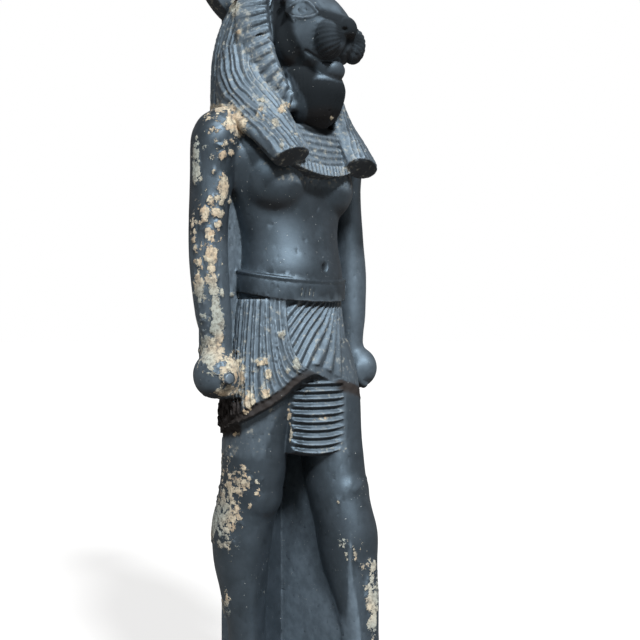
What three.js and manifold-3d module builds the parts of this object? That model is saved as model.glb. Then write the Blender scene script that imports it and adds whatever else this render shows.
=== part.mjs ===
// A lion-headed standing figure in the ancient Egyptian manner, carved from one block of dark stone:
// base, back pillar, striding legs, pleated kilt with its tab, arms held at the sides, long wig, mane and sun disc.
// Millimetres, +Z up. The figure faces -Y and its own left side is +X. The origin is the centre of the base's underside.
import * as THREE from "three";
import { mergeVertices } from "three/addons/utils/BufferGeometryUtils.js";
import Module from "manifold-3d";

// Driving dimensions. Heights of the figure are counted from its soles, and "forward" is towards -Y.
const BASE = { width: 82, back: 37, front: 79, height: 20 };
const PILLAR = { halfWidth: 12, back: 33, top: 330 };
const DISC = { radius: 35, thickness: 8, height: 348, forward: -24 };
const BELT = { height: 9.6, frontTop: 195.5, backRise: 4, proud: 1.3 };
const KILT = { top: 187, notch: 154.8, back: 126, foldAngle: 37, pleat: 10, pleatDepth: 0.8 };
const TAB = { right: -14.5, left: 11.8, top: 152, bottom: 120, ridges: 10, ridgeDepth: 0.8 };
const STONE = { color: 0x2b3138, roughness: 0.55, metalness: 0 };

const DEGREES = Math.PI / 180;
const wasm = await Module();
wasm.setup();

const clamp = (value, low, high) => Math.min(high, Math.max(low, value));
const mix = (a, b, t) => a + (b - a) * t;
const at = (x, forward, z) => new THREE.Vector3(x, -forward, z);

/** A smooth line through [position, value] pairs, positions rising, with no overshoot between them. */
function through(pairs) {
  const slopes = pairs.slice(1).map(([x, y], i) => (y - pairs[i][1]) / (x - pairs[i][0]));
  const tangents = pairs.map((_, i) => {
    const before = slopes[i - 1];
    const after = slopes[i];
    if (before === undefined || after === undefined) return before ?? after;
    return before * after <= 0 ? 0 : 2 / (1 / before + 1 / after);
  });
  return (x) => {
    const next = pairs.findIndex(([position]) => position > x);
    const i = next < 0 ? pairs.length - 2 : Math.max(0, next - 1);
    const width = pairs[i + 1][0] - pairs[i][0];
    const t = clamp((x - pairs[i][0]) / width, 0, 1);
    const rise = pairs[i][1] * (1 + 2 * t) * (1 - t) ** 2 + pairs[i + 1][1] * t * t * (3 - 2 * t);
    return rise + width * t * (1 - t) * (tangents[i] * (1 - t) - tangents[i + 1] * t);
  };
}

/** A point of a rounded section: the angle runs from straight ahead towards the figure's left. */
function sectionPoint(halfWidth, halfDepth, squareness, angle) {
  const power = 2 / squareness;
  const sine = Math.sin(angle);
  const cosine = Math.cos(angle);
  return [
    halfWidth * Math.sign(sine) * Math.abs(sine) ** power,
    halfDepth * Math.sign(cosine) * Math.abs(cosine) ** power,
  ];
}

/** A closed solid from rings of points, each ring turning the same way, with a point closing either end. */
function closedTube(rings) {
  const sides = rings[0].length;
  const middle = (ring) =>
    ring.reduce((sum, p) => sum.add(p), new THREE.Vector3()).divideScalar(sides);
  const points = [...rings.flat(), middle(rings[0]), middle(rings.at(-1))];
  const first = rings.length * sides;
  const index = [];
  for (let side = 0; side < sides; side++) {
    const next = (side + 1) % sides;
    index.push(first, next, side);
    index.push(first + 1, first - sides + side, first - sides + next);
    for (let ring = 0; ring < rings.length - 1; ring++) {
      const low = ring * sides;
      const high = low + sides;
      index.push(low + side, low + next, high + next, low + side, high + next, high + side);
    }
  }
  return new THREE.BufferGeometry().setFromPoints(points).setIndex(index);
}

/** A closed solid between two grids of points of the same size. Grids are lists of rows. */
function closedSlab(outer, inner) {
  const rows = outer.length;
  const columns = outer[0].length;
  const points = [...outer.flat(), ...inner.flat()];
  const back = rows * columns;
  const index = [];
  const quad = (a, b, c, d) => index.push(a, b, c, a, c, d);
  for (let r = 0; r < rows - 1; r++)
    for (let c = 0; c < columns - 1; c++) {
      const a = r * columns + c;
      quad(a, a + 1, a + 1 + columns, a + columns);
      quad(back + a, back + a + columns, back + a + 1 + columns, back + a + 1);
    }
  for (let c = 0; c < columns - 1; c++) {
    const top = (rows - 1) * columns + c;
    quad(c, back + c, back + c + 1, c + 1);
    quad(top, top + 1, back + top + 1, back + top);
  }
  for (let r = 0; r < rows - 1; r++) {
    const left = r * columns;
    const right = left + columns - 1;
    quad(left, left + columns, back + left + columns, back + left);
    quad(right, back + right, back + right + columns, right + columns);
  }
  return new THREE.BufferGeometry().setFromPoints(points).setIndex(index);
}

/**
 * A solid raised through stations of [height, x, forward, half width, half depth], rounded or squared in plan.
 * A lying one runs forward instead, and its stations are [forward, x, height, half width, half height].
 */
function raised(stations, { sides, steps = 1, squareness = 2, flute = 0, lying = false }) {
  const [x, forward, halfWidth, halfDepth] = [1, 2, 3, 4].map((k) =>
    through(stations.map((station) => [station[0], station[k]])),
  );
  const levels = Array.from({ length: (stations.length - 1) * steps + 1 }, (_, i) => {
    const station = Math.min(Math.floor(i / steps), stations.length - 2);
    return mix(stations[station][0], stations[station + 1][0], i / steps - station);
  });
  if (lying) levels.reverse();
  return closedTube(
    levels.map((z) => {
      return Array.from({ length: sides }, (_, side) => {
        const cut = side % 2 ? flute : 0;
        const angle = (side / sides) * 2 * Math.PI;
        const [px, pf] = sectionPoint(halfWidth(z) - cut, halfDepth(z) - cut, squareness, angle);
        return lying ? at(x(z) + px, z, forward(z) + pf) : at(x(z) + px, forward(z) + pf, z);
      });
    }),
  );
}

/** A solid swept along a curve, with an oval section whose wide axis is kept near the given direction. */
function swept(curve, { steps, sides, wide, halfWide, halfThick, flute = 0 }) {
  return closedTube(
    Array.from({ length: steps + 1 }, (_, step) => {
      const t = step / steps;
      const along = curve.getTangentAt(t);
      const across = wide(t).addScaledVector(along, -wide(t).dot(along)).normalize();
      const out = new THREE.Vector3().crossVectors(along, across);
      const middle = curve.getPointAt(t);
      return Array.from({ length: sides }, (_, side) => {
        const angle = (side / sides) * 2 * Math.PI;
        const cut = side % 2 ? flute : 0;
        return middle
          .clone()
          .addScaledVector(across, Math.cos(angle) * (halfWide(t) - cut))
          .addScaledVector(out, Math.sin(angle) * (halfThick(t) - cut));
      });
    }),
  );
}

/** An ellipsoid with its middle, its half sizes (across, forward, up) and a tilt about the X axis. */
function ellipsoid([x, forward, z], [across, ahead, up], { tilt = 0, turn = 0, detail = 16 } = {}) {
  return new THREE.SphereGeometry(1, detail, Math.round(detail * 0.7))
    .rotateX(90 * DEGREES)
    .scale(across, ahead, up)
    .rotateX(tilt * DEGREES)
    .rotateZ(turn * DEGREES)
    .translate(x, -forward, z);
}

/** A block between two corners, each given as x, forward, height. */
function block([x0, forward0, z0], [x1, forward1, z1]) {
  return new THREE.BoxGeometry(x1 - x0, forward1 - forward0, z1 - z0).translate(
    (x0 + x1) / 2,
    -(forward0 + forward1) / 2,
    (z0 + z1) / 2,
  );
}

/** The same geometry on the figure's other side. */
function mirrored(geometry) {
  const other = geometry.clone().scale(-1, 1, 1);
  const index = other.index.array;
  for (let i = 0; i < index.length; i += 3) [index[i], index[i + 1]] = [index[i + 1], index[i]];
  return other;
}

/** A geometry as a solid that can be joined and cut. */
function solid(geometry) {
  const bare = geometry.clone();
  bare.deleteAttribute("normal");
  bare.deleteAttribute("uv");
  const merged = mergeVertices(bare, 1e-4);
  return new wasm.Manifold(
    new wasm.Mesh({
      numProp: 3,
      vertProperties: merged.attributes.position.array,
      triVerts: new Uint32Array(merged.index.array),
    }),
  );
}

const joined = (geometries) => geometries.map(solid).reduce((whole, piece) => whole.add(piece));

/** The body's outer skin alone: pockets sealed inside it are filled. */
function filled(body) {
  return body.decompose().reduce((most, skin) => (skin.volume() > most.volume() ? skin : most));
}

// Legs: [height, x, forward, half width, half depth] from the sole to inside the kilt.
const RIGHT_LEG = [
  [2, -15.5, -8, 8.4, 11],
  [16, -15.5, -8.5, 8, 9.6],
  [38, -15.5, -8.3, 8.8, 10],
  [55, -16, -9.5, 11, 12.4],
  [70, -16.3, -10.8, 12.9, 14.8],
  [84, -16.6, -10.8, 13.4, 15.6],
  [96, -16.2, -8.5, 13, 14.8],
  [106, -16.2, -5.6, 13.4, 14.8],
  [120, -16.5, -3, 13.6, 14.8],
  [150, -16, -2, 15.5, 18],
  [170, -14, -1, 16, 18],
];
const STRIDE = through([
  [2, 40],
  [38, 38.5],
  [70, 33.6],
  [84, 31.7],
  [96, 26],
  [106, 20.2],
  [120, 15],
  [150, 8],
  [170, 2],
]);

function legs() {
  const shape = { sides: 12, squareness: 2.1 };
  const leftLeg = RIGHT_LEG.map(([z, x, forward, w, d]) => [z, -x, forward + STRIDE(z), w, d]);
  return [raised(RIGHT_LEG, shape), raised(leftLeg, shape)];
}

/** A foot, raised along its length from the heel and laid flat: [distance, x, height, half width, half height]. */
function foot(x, heel) {
  const outline = [
    [0, 0, 6, 5, 5.5],
    [4, 0, 8, 7.5, 8],
    [16, 0, 10, 8.2, 10.5],
    [28, 0, 7.5, 8.8, 8],
    [40, 0, 4.8, 9.6, 5.3],
    [50, 0, 3.2, 8.6, 3.7],
    [53, 0, 2.6, 6.5, 2.6],
  ];
  return raised(outline, { sides: 12, squareness: 2.6, lying: true }).translate(x, -heel, 0);
}

/** The panel that joins the advanced leg to the pillar behind it. */
function strideWeb() {
  const inner = 9.5;
  const thickness = 6;
  const heights = [-1, 20, 38, 70, 96, 130];
  const outline = heights.map((z) => new THREE.Vector2(STRIDE(z) - 9, z));
  outline.push(new THREE.Vector2(-18, heights.at(-1)), new THREE.Vector2(-18, heights[0]));
  return new THREE.ExtrudeGeometry(new THREE.Shape(outline), { depth: thickness, bevelEnabled: false })
    .rotateX(90 * DEGREES)
    .rotateZ(-90 * DEGREES)
    .translate(inner + thickness, 0, 0);
}

/** The stone left standing: base, pillar behind, panels beside the arms and behind the advanced leg. */
function standingStone() {
  return [
    block([-BASE.width / 2, -BASE.back, -BASE.height], [BASE.width / 2, BASE.front, 0]),
    block([-PILLAR.halfWidth, -PILLAR.back, -1], [PILLAR.halfWidth, -14, PILLAR.top]),
    strideWeb(),
    block([-42, -11, 150], [42, -2.6, 256]),
  ];
}

/** The trunk, from inside the kilt up to the neck. */
function trunk() {
  const chest = raised(
    [
      [172, 0, 0.6, 27, 20.5],
      [188, 0, 0.6, 26.6, 20.8],
      [199, 0, 0.6, 25.8, 22.2],
      [211, 0, 0.4, 25.2, 20.6],
      [224, 0, 0.2, 28, 19.6],
      [236, 0, 0, 32.5, 20],
      [249, 0, -1, 37, 19.4],
      [259, 0, -3, 37, 16],
      [265, 0, -4, 30, 13.5],
      [271, 0, -4, 18, 12],
      [288, 0, -2, 15, 14],
    ],
    { sides: 20, squareness: 2.25 },
  );
  const breast = ellipsoid([-16, 9.5, 235], [14.5, 13, 13], { detail: 10 });
  return [chest, breast, mirrored(breast)];
}

/** An arm hanging at the side, its fist closed on a short staff end. */
function arm() {
  const limb = raised(
    [
      [152, -43, 2, 6.5, 7.5],
      [166, -41.4, 1, 6.3, 6.6],
      [180, -42, -0.5, 7.4, 8],
      [203, -43.3, -1.6, 8.4, 9],
      [218, -42.4, -2, 8.8, 9.8],
      [240, -40, -2.8, 9.8, 10.8],
      [256, -38.6, -3.4, 10, 11],
      [264.5, -36.5, -3.8, 8, 9],
      [269, -34, -4, 4, 5],
    ],
    { sides: 10, squareness: 2.1 },
  );
  const fist = ellipsoid([-43.4, 3, 154], [8.8, 11.5, 10.8], { detail: 10 });
  const staff = new THREE.CylinderGeometry(2.9, 2.9, 23, 10).translate(-44, -2.5, 154);
  return [limb, fist, staff];
}

/** The belt, dipping at the front. */
function belt() {
  const sides = 36;
  const ring = (z, proud) =>
    Array.from({ length: sides }, (_, side) => {
      const angle = (side / sides) * 2 * Math.PI;
      const [x, forward] = sectionPoint(26.8 + proud, 20.4 + proud, 2.15, angle);
      return at(x, forward + 0.6, z + BELT.backRise * (1 - Math.cos(angle)));
    });
  const top = BELT.frontTop;
  return closedTube([ring(top - BELT.height, BELT.proud + 0.6), ring(top, BELT.proud)]);
}

// The kilt's plan from the belt to the hem, and its hem by the angle from the front in degrees, plus to the left.
const kiltWidth = through([
  [125, 34.4],
  [150, 31.8],
  [170, 28.8],
  [187, 26.6],
]);
const kiltDepth = through([
  [125, 25.6],
  [150, 23.6],
  [170, 21.4],
  [187, 20],
]);
const hem = through([
  [-180, KILT.back],
  [-126, 128],
  [-80, 135.3],
  [-58, 140.1],
  [-41, 145],
  [-26, 151.3],
  [-9, KILT.notch],
  [13, 149.8],
  [53, 141.9],
  [126, 130],
  [180, KILT.back],
]);

function kiltPoint(degrees, z, out) {
  const angle = degrees * DEGREES;
  const [x, forward] = sectionPoint(kiltWidth(z) + out, kiltDepth(z) + out, 2.15, angle);
  const fullness = mix(1.8, 0.6, clamp((z - KILT.back) / (KILT.top - KILT.back), 0, 1));
  return at(x, forward + fullness, z);
}

/** The kilt's lower layer: a ring of pleats that fan out from above the figure's left hip. */
function kiltRing() {
  const pleats = Math.round(360 / KILT.pleat);
  const rows = 4;
  const fanStart = 48;
  const atBelt = through([
    [0, 0],
    [143, 62],
    [250, 250],
    [360, 360],
  ]);
  return closedTube(
    Array.from({ length: rows + 1 }, (_, row) =>
      Array.from({ length: pleats * 2 }, (_, side) => {
        const fall = 1 - row / rows;
        const before = 360 - (side / (pleats * 2)) * 360;
        const turned = fanStart - mix(atBelt(before), before, fall);
        const degrees = turned < -180 ? turned + 360 : turned;
        const z = mix(KILT.top, hem(degrees), fall);
        return kiltPoint(degrees, z, side % 2 ? -KILT.pleatDepth : 0.1);
      }),
    ),
  );
}

/** The kilt's upper layer: it wraps the figure's right side, and its curved edge crosses the front. */
function kiltWrap() {
  const columns = 28;
  const rows = 3;
  const back = -178;
  const grid = (out, cut) =>
    Array.from({ length: rows + 1 }, (_, row) =>
      Array.from({ length: columns + 1 }, (_, column) => {
        const fall = 1 - row / rows;
        const across = column / columns;
        const sweep = KILT.foldAngle * (1 - Math.sqrt(1 - fall ** 2));
        const degrees = mix(back, -KILT.foldAngle, across) + sweep * across ** 4;
        const z = mix(KILT.top, hem(degrees) - 0.4, fall);
        return kiltPoint(degrees, z, out - (column % 2 ? cut : 0));
      }),
    );
  return closedSlab(grid(1.1, KILT.pleatDepth), grid(-4, 0));
}

/** The pleated tab that hangs from under the kilt, between the thighs. */
function tab() {
  const columns = 4;
  const rows = TAB.ridges * 2;
  const grid = (out, cut) =>
    Array.from({ length: rows + 1 }, (_, row) =>
      Array.from({ length: columns + 1 }, (_, column) => {
        const s = column / columns;
        const bow = 1 - (2 * s - 1) ** 2;
        const x = mix(TAB.right, TAB.left, s);
        const z = mix(TAB.bottom - 1.8 * bow, TAB.top, row / rows);
        const face = mix(17.2, 25.6, s) + 1.2 * bow + out - (row % 2 ? 0 : cut);
        return at(x, face, z);
      }),
    );
  return closedSlab(grid(0, TAB.ridgeDepth), grid(-14, 0));
}

/** The wig's hood, with the lock that falls behind the shoulders. */
function hood() {
  return raised(
    [
      [238, 0, -15, 17, 8],
      [254, 0, -13, 26, 14],
      [266, 0, -11, 30.4, 19.8],
      [280, 0, -10, 31.4, 22],
      [293, 0, -9.6, 31, 22],
      [305, 0, -8.6, 29, 21],
      [316, 0, -6.6, 25, 19.4],
      [326, 0, -4.6, 18, 15],
      [333, 0, -3.6, 6, 6],
    ],
    { sides: 32, squareness: 2.2, flute: 0.9 },
  );
}

/** One front lock of the wig, from beside the mane down to its cut end on the breast. */
function lappet() {
  const path = new THREE.CatmullRomCurve3([
    at(-25.5, -4, 296),
    at(-27.5, 0, 281),
    at(-25, 9, 267),
    at(-22.6, 17.5, 256),
    at(-21.5, 25, 245),
  ]);
  return swept(path, {
    steps: 6,
    sides: 16,
    wide: (t) => new THREE.Vector3(mix(0.35, 1, t), mix(-0.94, -0.2, t), 0),
    halfWide: (t) => mix(9, 12, Math.sin(t * Math.PI)) + mix(0, 0.6, t),
    halfThick: (t) => mix(6.5, 5.6, t),
    flute: 0.6,
  });
}

/** The broad collar between the front locks: rows of beads, the lowest one of drops. */
function collar() {
  const rows = 10;
  const columns = 6;
  const grid = (out, cut) =>
    Array.from({ length: rows + 1 }, (_, row) =>
      Array.from({ length: columns + 1 }, (_, column) => {
        const across = (2 * column) / columns - 1;
        const z = mix(239 + 4 * across ** 2, 262, row / rows);
        const lift = mix(25, 18, row / rows) - 3 * across ** 2;
        return at(across * 18, lift + out - (row % 2 ? cut : 0), z);
      }),
    );
  return closedSlab(grid(0, 0.7), grid(-9, 0));
}

/** The lion's head in front of the hood. */
function head() {
  const eye = ellipsoid([-11.8, 18, 310.5], [5, 3.2, 3.6], { turn: -24, detail: 8 });
  const brow = ellipsoid([-10, 16, 315.5], [7.5, 5, 3.2], { turn: -18, tilt: 12, detail: 8 });
  const pad = ellipsoid([-8, 33.6, 297], [5.6, 6.2, 8], { detail: 10 });
  const cheek = ellipsoid([-13, 12, 298], [10, 10, 13], { detail: 10 });
  const face = [
    [-4, 0, 303, 23, 24],
    [8, 0, 303, 21.5, 23],
    [16, 0, 303.5, 18, 21.6],
    [22, 0, 303.5, 14.6, 19],
    [27, 0, 302, 11, 16.5],
    [31, 0, 301, 8.6, 12.6],
    [35, 0, 301.5, 7, 8],
    [37, 0, 302, 4, 5],
  ];
  return [
    raised(face, { sides: 16, squareness: 2.2, lying: true }),
    ellipsoid([0, 36.4, 303], [4.4, 4.4, 4.6], { tilt: 25, detail: 10 }),
    ellipsoid([0, 27.2, 287.4], [6, 5.2, 5], { detail: 10 }),
    eye,
    mirrored(eye),
    brow,
    mirrored(brow),
    pad,
    mirrored(pad),
    cheek,
    mirrored(cheek),
  ];
}

/** The mane: a tufted band beside each cheek, and the beard below the chin. */
function mane() {
  const path = new THREE.CatmullRomCurve3([
    at(-21.5, 2, 321),
    at(-24.5, 4, 308),
    at(-24, 6, 295),
    at(-19.5, 9.5, 282),
    at(-12.5, 15, 270),
  ]);
  const tufts = 8;
  const band = swept(path, {
    steps: tufts * 2,
    sides: 6,
    wide: () => new THREE.Vector3(0.62, -0.78, 0),
    halfWide: (t) => 7.6 * Math.sqrt(Math.sin(mix(0.25, 0.86, t) * Math.PI)),
    halfThick: (t) => 3.6 + 0.45 * Math.cos(t * tufts * 2 * Math.PI),
  });
  const beard = raised(
    [
      [255, 0, 15, 6, 6],
      [261, 0, 14.5, 10, 9.5],
      [268, 0, 14, 12.6, 12.6],
      [277, 0, 13.5, 13.6, 15.6],
      [290, 0, 10, 14.4, 18],
    ],
    { sides: 20, flute: 0.6 },
  );
  return [band, mirrored(band), beard];
}

/** A round ear, hollow at the front. */
function ear() {
  const shell = solid(ellipsoid([-23, -6, 327], [7.6, 4, 8.6], { turn: 28, detail: 10 }));
  const hollow = solid(ellipsoid([-24, -2.4, 328], [5.2, 3.4, 6], { turn: 28, detail: 8 }));
  return shell.subtract(hollow);
}

function sunDisc() {
  const { radius, thickness, height, forward } = DISC;
  const face = radius - 1.2;
  const half = thickness / 2;
  const profile = [
    [0, -half],
    [face, -half],
    [radius, -half + 1.2],
    [radius, half - 1.2],
    [face, half],
    [0, half],
  ].map(([r, y]) => new THREE.Vector2(r, y));
  return new THREE.LatheGeometry(profile, 36).translate(0, -forward, height);
}

const rightEar = ear();
const carving = joined([
  ...standingStone(),
  ...legs(),
  foot(-15.5, -19),
  foot(15.5, 21),
  ...trunk(),
  ...arm(),
  ...arm().map(mirrored),
  kiltRing(),
  kiltWrap(),
  belt(),
  tab(),
  hood(),
  lappet(),
  mirrored(lappet()),
  collar(),
  ...head(),
  ...mane(),
  sunDisc(),
])
  .add(rightEar)
  .add(rightEar.mirror([1, 0, 0]));

/** A solid as a geometry to draw. */
function drawn(body) {
  const mesh = body.getMesh();
  const positions = new THREE.BufferAttribute(mesh.vertProperties, 3);
  return new THREE.BufferGeometry()
    .setAttribute("position", positions)
    .setIndex(new THREE.BufferAttribute(mesh.triVerts, 1));
}

const statue = new THREE.Mesh(drawn(filled(carving)), new THREE.MeshStandardMaterial(STONE));
statue.name = "statue";
statue.position.set(0, (BASE.front - BASE.back) / 2, BASE.height);

const figure = new THREE.Group();
figure.add(statue);

export default figure;
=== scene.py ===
"""The looks of an ancient Egyptian lion-headed statue in dark stone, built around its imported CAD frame."""

import logging
import math
from dataclasses import dataclass
from enum import Enum
from typing import Callable, Sequence

import bmesh
import bpy
import numpy as np
from mathutils import Euler, Matrix, Vector


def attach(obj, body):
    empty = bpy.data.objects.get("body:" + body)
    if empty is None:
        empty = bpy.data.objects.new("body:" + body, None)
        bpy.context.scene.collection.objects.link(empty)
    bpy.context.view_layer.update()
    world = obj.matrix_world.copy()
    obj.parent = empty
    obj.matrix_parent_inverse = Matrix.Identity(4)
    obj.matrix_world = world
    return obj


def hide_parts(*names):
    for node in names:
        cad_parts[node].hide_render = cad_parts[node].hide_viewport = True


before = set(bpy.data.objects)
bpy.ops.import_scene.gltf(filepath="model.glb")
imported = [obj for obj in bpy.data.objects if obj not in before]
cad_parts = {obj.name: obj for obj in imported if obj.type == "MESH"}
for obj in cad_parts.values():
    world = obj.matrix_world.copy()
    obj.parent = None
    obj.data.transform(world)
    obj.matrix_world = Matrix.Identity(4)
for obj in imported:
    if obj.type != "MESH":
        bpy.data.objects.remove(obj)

Array = np.ndarray
Shape = Callable[[Array, Array], Array]
Panel = Callable[[Array, Array, Array], Array]
Stations = Sequence[Sequence[float]]

# The figure is carved in millimetres, as points of x, forward and height above its soles.
# Plus x is to its own left.
SOLE_HEIGHT = 20.0
AXIS_SETBACK = 21.0
METRE = 1000.0
SEED = 4107

# How fine the stone is cut, in millimetres, and how many triangles the finished piece may have.
SOFT_VOXEL = 0.8
FINE_VOXEL = 0.42
TRIANGLES = 194000

# The picture is a square of this many pixels, seen along the figure's front right from this far away.
PICTURE = 640
FOCAL_PIXELS = 924.0
SENSOR = 36.0
CAMERA_DISTANCE = 420.0
CAMERA_SIDE = 15.0
CAMERA_HEIGHT = 178.0
DIAGONAL = math.sqrt(0.5)

log = logging.getLogger("statue")


def mix(low: Array | float, high: Array | float, share: Array | float) -> Array | float:
    """Returns the value that lies the given share of the way from low to high."""
    return low + (high - low) * share


def smooth_step(low: float, high: float, value: Array) -> Array:
    """Rises smoothly from 0 to 1 between two values.

    Args:
        low: Where the rise starts.
        high: Where the rise ends.
        value: The values to measure.

    Returns:
        A share from 0 to 1 for each value.
    """
    t = np.clip((value - low) / (high - low), 0.0, 1.0)
    return t * t * (3.0 - 2.0 * t)


def reeds(phase: Array, sharpness: float = 1.0) -> Array:
    """A row of rounded ridges with sharp grooves between them.

    Args:
        phase: The place along the row, where each whole number is a groove.
        sharpness: Above 1 the grooves are narrower and the ridges flatter.

    Returns:
        A depth from 0 on a ridge's crown to 1 in a groove.
    """
    return (1.0 - np.abs(np.sin(np.pi * phase))) ** sharpness


class Track:
    """A smooth line through stations, with no overshoot between them."""

    def __init__(self, places: Sequence[float], values: Sequence[float]) -> None:
        """Fits the line.

        Args:
            places: The stations' places, rising.
            values: The line's value at each station.
        """
        self.places = np.asarray(places, float)
        self.values = np.asarray(values, float)
        slopes = np.diff(self.values) / np.diff(self.places)
        before, after = slopes[:-1], slopes[1:]
        total = np.where(before + after == 0.0, 1.0, before + after)
        inner = np.where(before * after > 0.0, 2.0 * before * after / total, 0.0)
        self.tangents = np.concatenate([slopes[:1], inner, slopes[-1:]])

    def __call__(self, place: Array) -> Array:
        """Returns the line's value at each place."""
        i = np.searchsorted(self.places, place, side="right") - 1
        i = np.clip(i, 0, len(self.places) - 2)
        width = self.places[i + 1] - self.places[i]
        t = np.clip((place - self.places[i]) / width, 0.0, 1.0)
        low = self.values[i] * (1 + 2 * t) * (1 - t) ** 2
        high = self.values[i + 1] * t * t * (3 - 2 * t)
        lean = self.tangents[i] * (1 - t) - self.tangents[i + 1] * t
        return low + high + width * t * (1 - t) * lean


def tracks(stations: Stations) -> list[Track]:
    """Makes one line for each column of a table of stations, after its first column of places."""
    columns = list(zip(*stations))
    return [Track(columns[0], column) for column in columns[1:]]


class Grain:
    """Smooth seeded noise in space, from -1 to 1."""

    CELLS = 32

    def __init__(self, seed: int) -> None:
        """Fills the lattice that the noise runs through.

        Args:
            seed: The same seed gives the same noise.
        """
        size = (self.CELLS,) * 3
        self.lattice = np.random.default_rng(seed).uniform(-1.0, 1.0, size)

    def __call__(self, points: Array, size: float, octaves: int = 1) -> Array:
        """Measures the noise.

        Args:
            points: The places to measure, one a row.
            size: The distance over which the noise changes.
            octaves: How many finer layers are added, each of half the size and strength.

        Returns:
            A value for each point.
        """
        total = np.zeros(len(points))
        for octave in range(octaves):
            total += self._layer(points * (2.0**octave / size) + 7.3 * octave) * 0.5**octave
        return total

    def _layer(self, places: Array) -> Array:
        """Returns one layer of the noise at places counted in cells."""
        cell = np.floor(places).astype(int)
        t = places - cell
        t = t * t * (3.0 - 2.0 * t)
        value = np.zeros(len(places))
        for corner in range(8):
            step = np.array([corner & 1, corner >> 1 & 1, corner >> 2 & 1])
            x, y, z = ((cell + step) % self.CELLS).T
            weight = np.where(step, t, 1.0 - t).prod(axis=1)
            value += self.lattice[x, y, z] * weight
        return value


def read_points(mesh: bpy.types.Mesh) -> Array:
    """Returns a mesh's points, one a row."""
    flat = np.empty(len(mesh.vertices) * 3, np.float32)
    mesh.vertices.foreach_get("co", flat)
    return flat.reshape(-1, 3).astype(float)


def write_points(mesh: bpy.types.Mesh, points: Array) -> None:
    """Moves a mesh's points to new places, one a row."""
    mesh.vertices.foreach_set("co", points.astype(np.float32).ravel())
    mesh.update()


def mesh_of(bm: bmesh.types.BMesh, name: str) -> bpy.types.Mesh:
    """Turns a bmesh into a mesh and frees it."""
    mesh = bpy.data.meshes.new(name)
    bm.to_mesh(mesh)
    bm.free()
    return mesh


def section(half_wide: Array, half_deep: Array, squareness: float, angle: Array) -> tuple[Array, Array]:
    """A point of a rounded section.

    Args:
        half_wide: Half the section's width.
        half_deep: Half its depth.
        squareness: 2 for an ellipse, more for squarer corners.
        angle: The turn from straight ahead towards the figure's left.

    Returns:
        The point's place across and forward.
    """
    power = 2.0 / squareness
    sine, cosine = np.sin(angle), np.cos(angle)
    across = half_wide * np.sign(sine) * np.abs(sine) ** power
    ahead = half_deep * np.sign(cosine) * np.abs(cosine) ** power
    return across, ahead


def skin(rows: int, sides: int, shape: Shape, name: str = "skin") -> bpy.types.Mesh:
    """A closed skin: a capped tube whose rows are carried to a shape's sections.

    Args:
        rows: How many sections there are.
        sides: How many points each section has.
        shape: Gives a point from the share of the length and the turn round the section.
        name: The mesh's name.

    Returns:
        The closed mesh.
    """
    bm = bmesh.new()
    bmesh.ops.create_cone(
        bm, cap_ends=True, cap_tris=True, segments=sides, radius1=1.0, radius2=1.0, depth=1.0
    )
    upright = [edge for edge in bm.edges if abs(edge.verts[0].co.z - edge.verts[1].co.z) > 0.5]
    bmesh.ops.subdivide_edges(bm, edges=upright, cuts=rows - 2, use_grid_fill=True)
    mesh = mesh_of(bm, name)
    tube = read_points(mesh)
    share = np.clip(tube[:, 2] + 0.5, 0.0, 1.0)
    points = shape(share, np.arctan2(tube[:, 0], tube[:, 1]))
    middle = np.hypot(tube[:, 0], tube[:, 1]) < 0.5
    turns = np.linspace(-np.pi, np.pi, 65)[:-1]
    for level in (0.0, 1.0):
        points[middle & (np.abs(share - level) < 0.5)] = shape(np.full(64, level), turns).mean(axis=0)
    write_points(mesh, points)
    return mesh


def panel(columns: int, rows: int, shape: Panel, name: str = "panel") -> bpy.types.Mesh:
    """A closed panel between two faces: a thickened grid whose points are carried to a shape.

    Args:
        columns: How many points the panel has across.
        rows: How many it has up.
        shape: Gives a point from its share across, its share up, and 1 on the face or 0 on the back.
        name: The mesh's name.

    Returns:
        The closed mesh.
    """
    bm = bmesh.new()
    bmesh.ops.create_grid(bm, x_segments=columns, y_segments=rows, size=0.5)
    bmesh.ops.solidify(bm, geom=bm.faces[:], thickness=1.0)
    mesh = mesh_of(bm, name)
    flat = read_points(mesh)
    face = np.where(np.abs(flat[:, 2]) < 0.5, 1.0, 0.0)
    write_points(mesh, shape(flat[:, 0] + 0.5, flat[:, 1] + 0.5, face))
    return mesh


def raised(
    stations: Stations,
    squareness: float = 2.1,
    cut: Shape | None = None,
    lying: bool = False,
) -> Shape:
    """A form raised through stations of height, x, forward, half width and half depth.

    Args:
        stations: The sections from the bottom up, or from the back forward for a lying form.
        squareness: 2 for elliptical sections, more for squarer ones.
        cut: The depth taken off the skin, from the height and the turn.
        lying: Whether the form runs forward, so that its stations give forward, x, height and half sizes.

    Returns:
        The form's shape, for skin().
    """
    first, last = stations[0][0], stations[-1][0]
    middle_x, middle_ahead, wide, deep = tracks(stations)

    def shape(share: Array, angle: Array) -> Array:
        """Returns the form's points at shares of its length and turns round it."""
        level = mix(first, last, share)
        depth = cut(level, angle) if cut else 0.0
        across, ahead = section(wide(level) - depth, deep(level) - depth, squareness, angle)
        x, second = middle_x(level) + across, middle_ahead(level) + ahead
        columns = [x, level, second] if lying else [x, second, level]
        return np.stack(columns, axis=1)

    return shape


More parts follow.
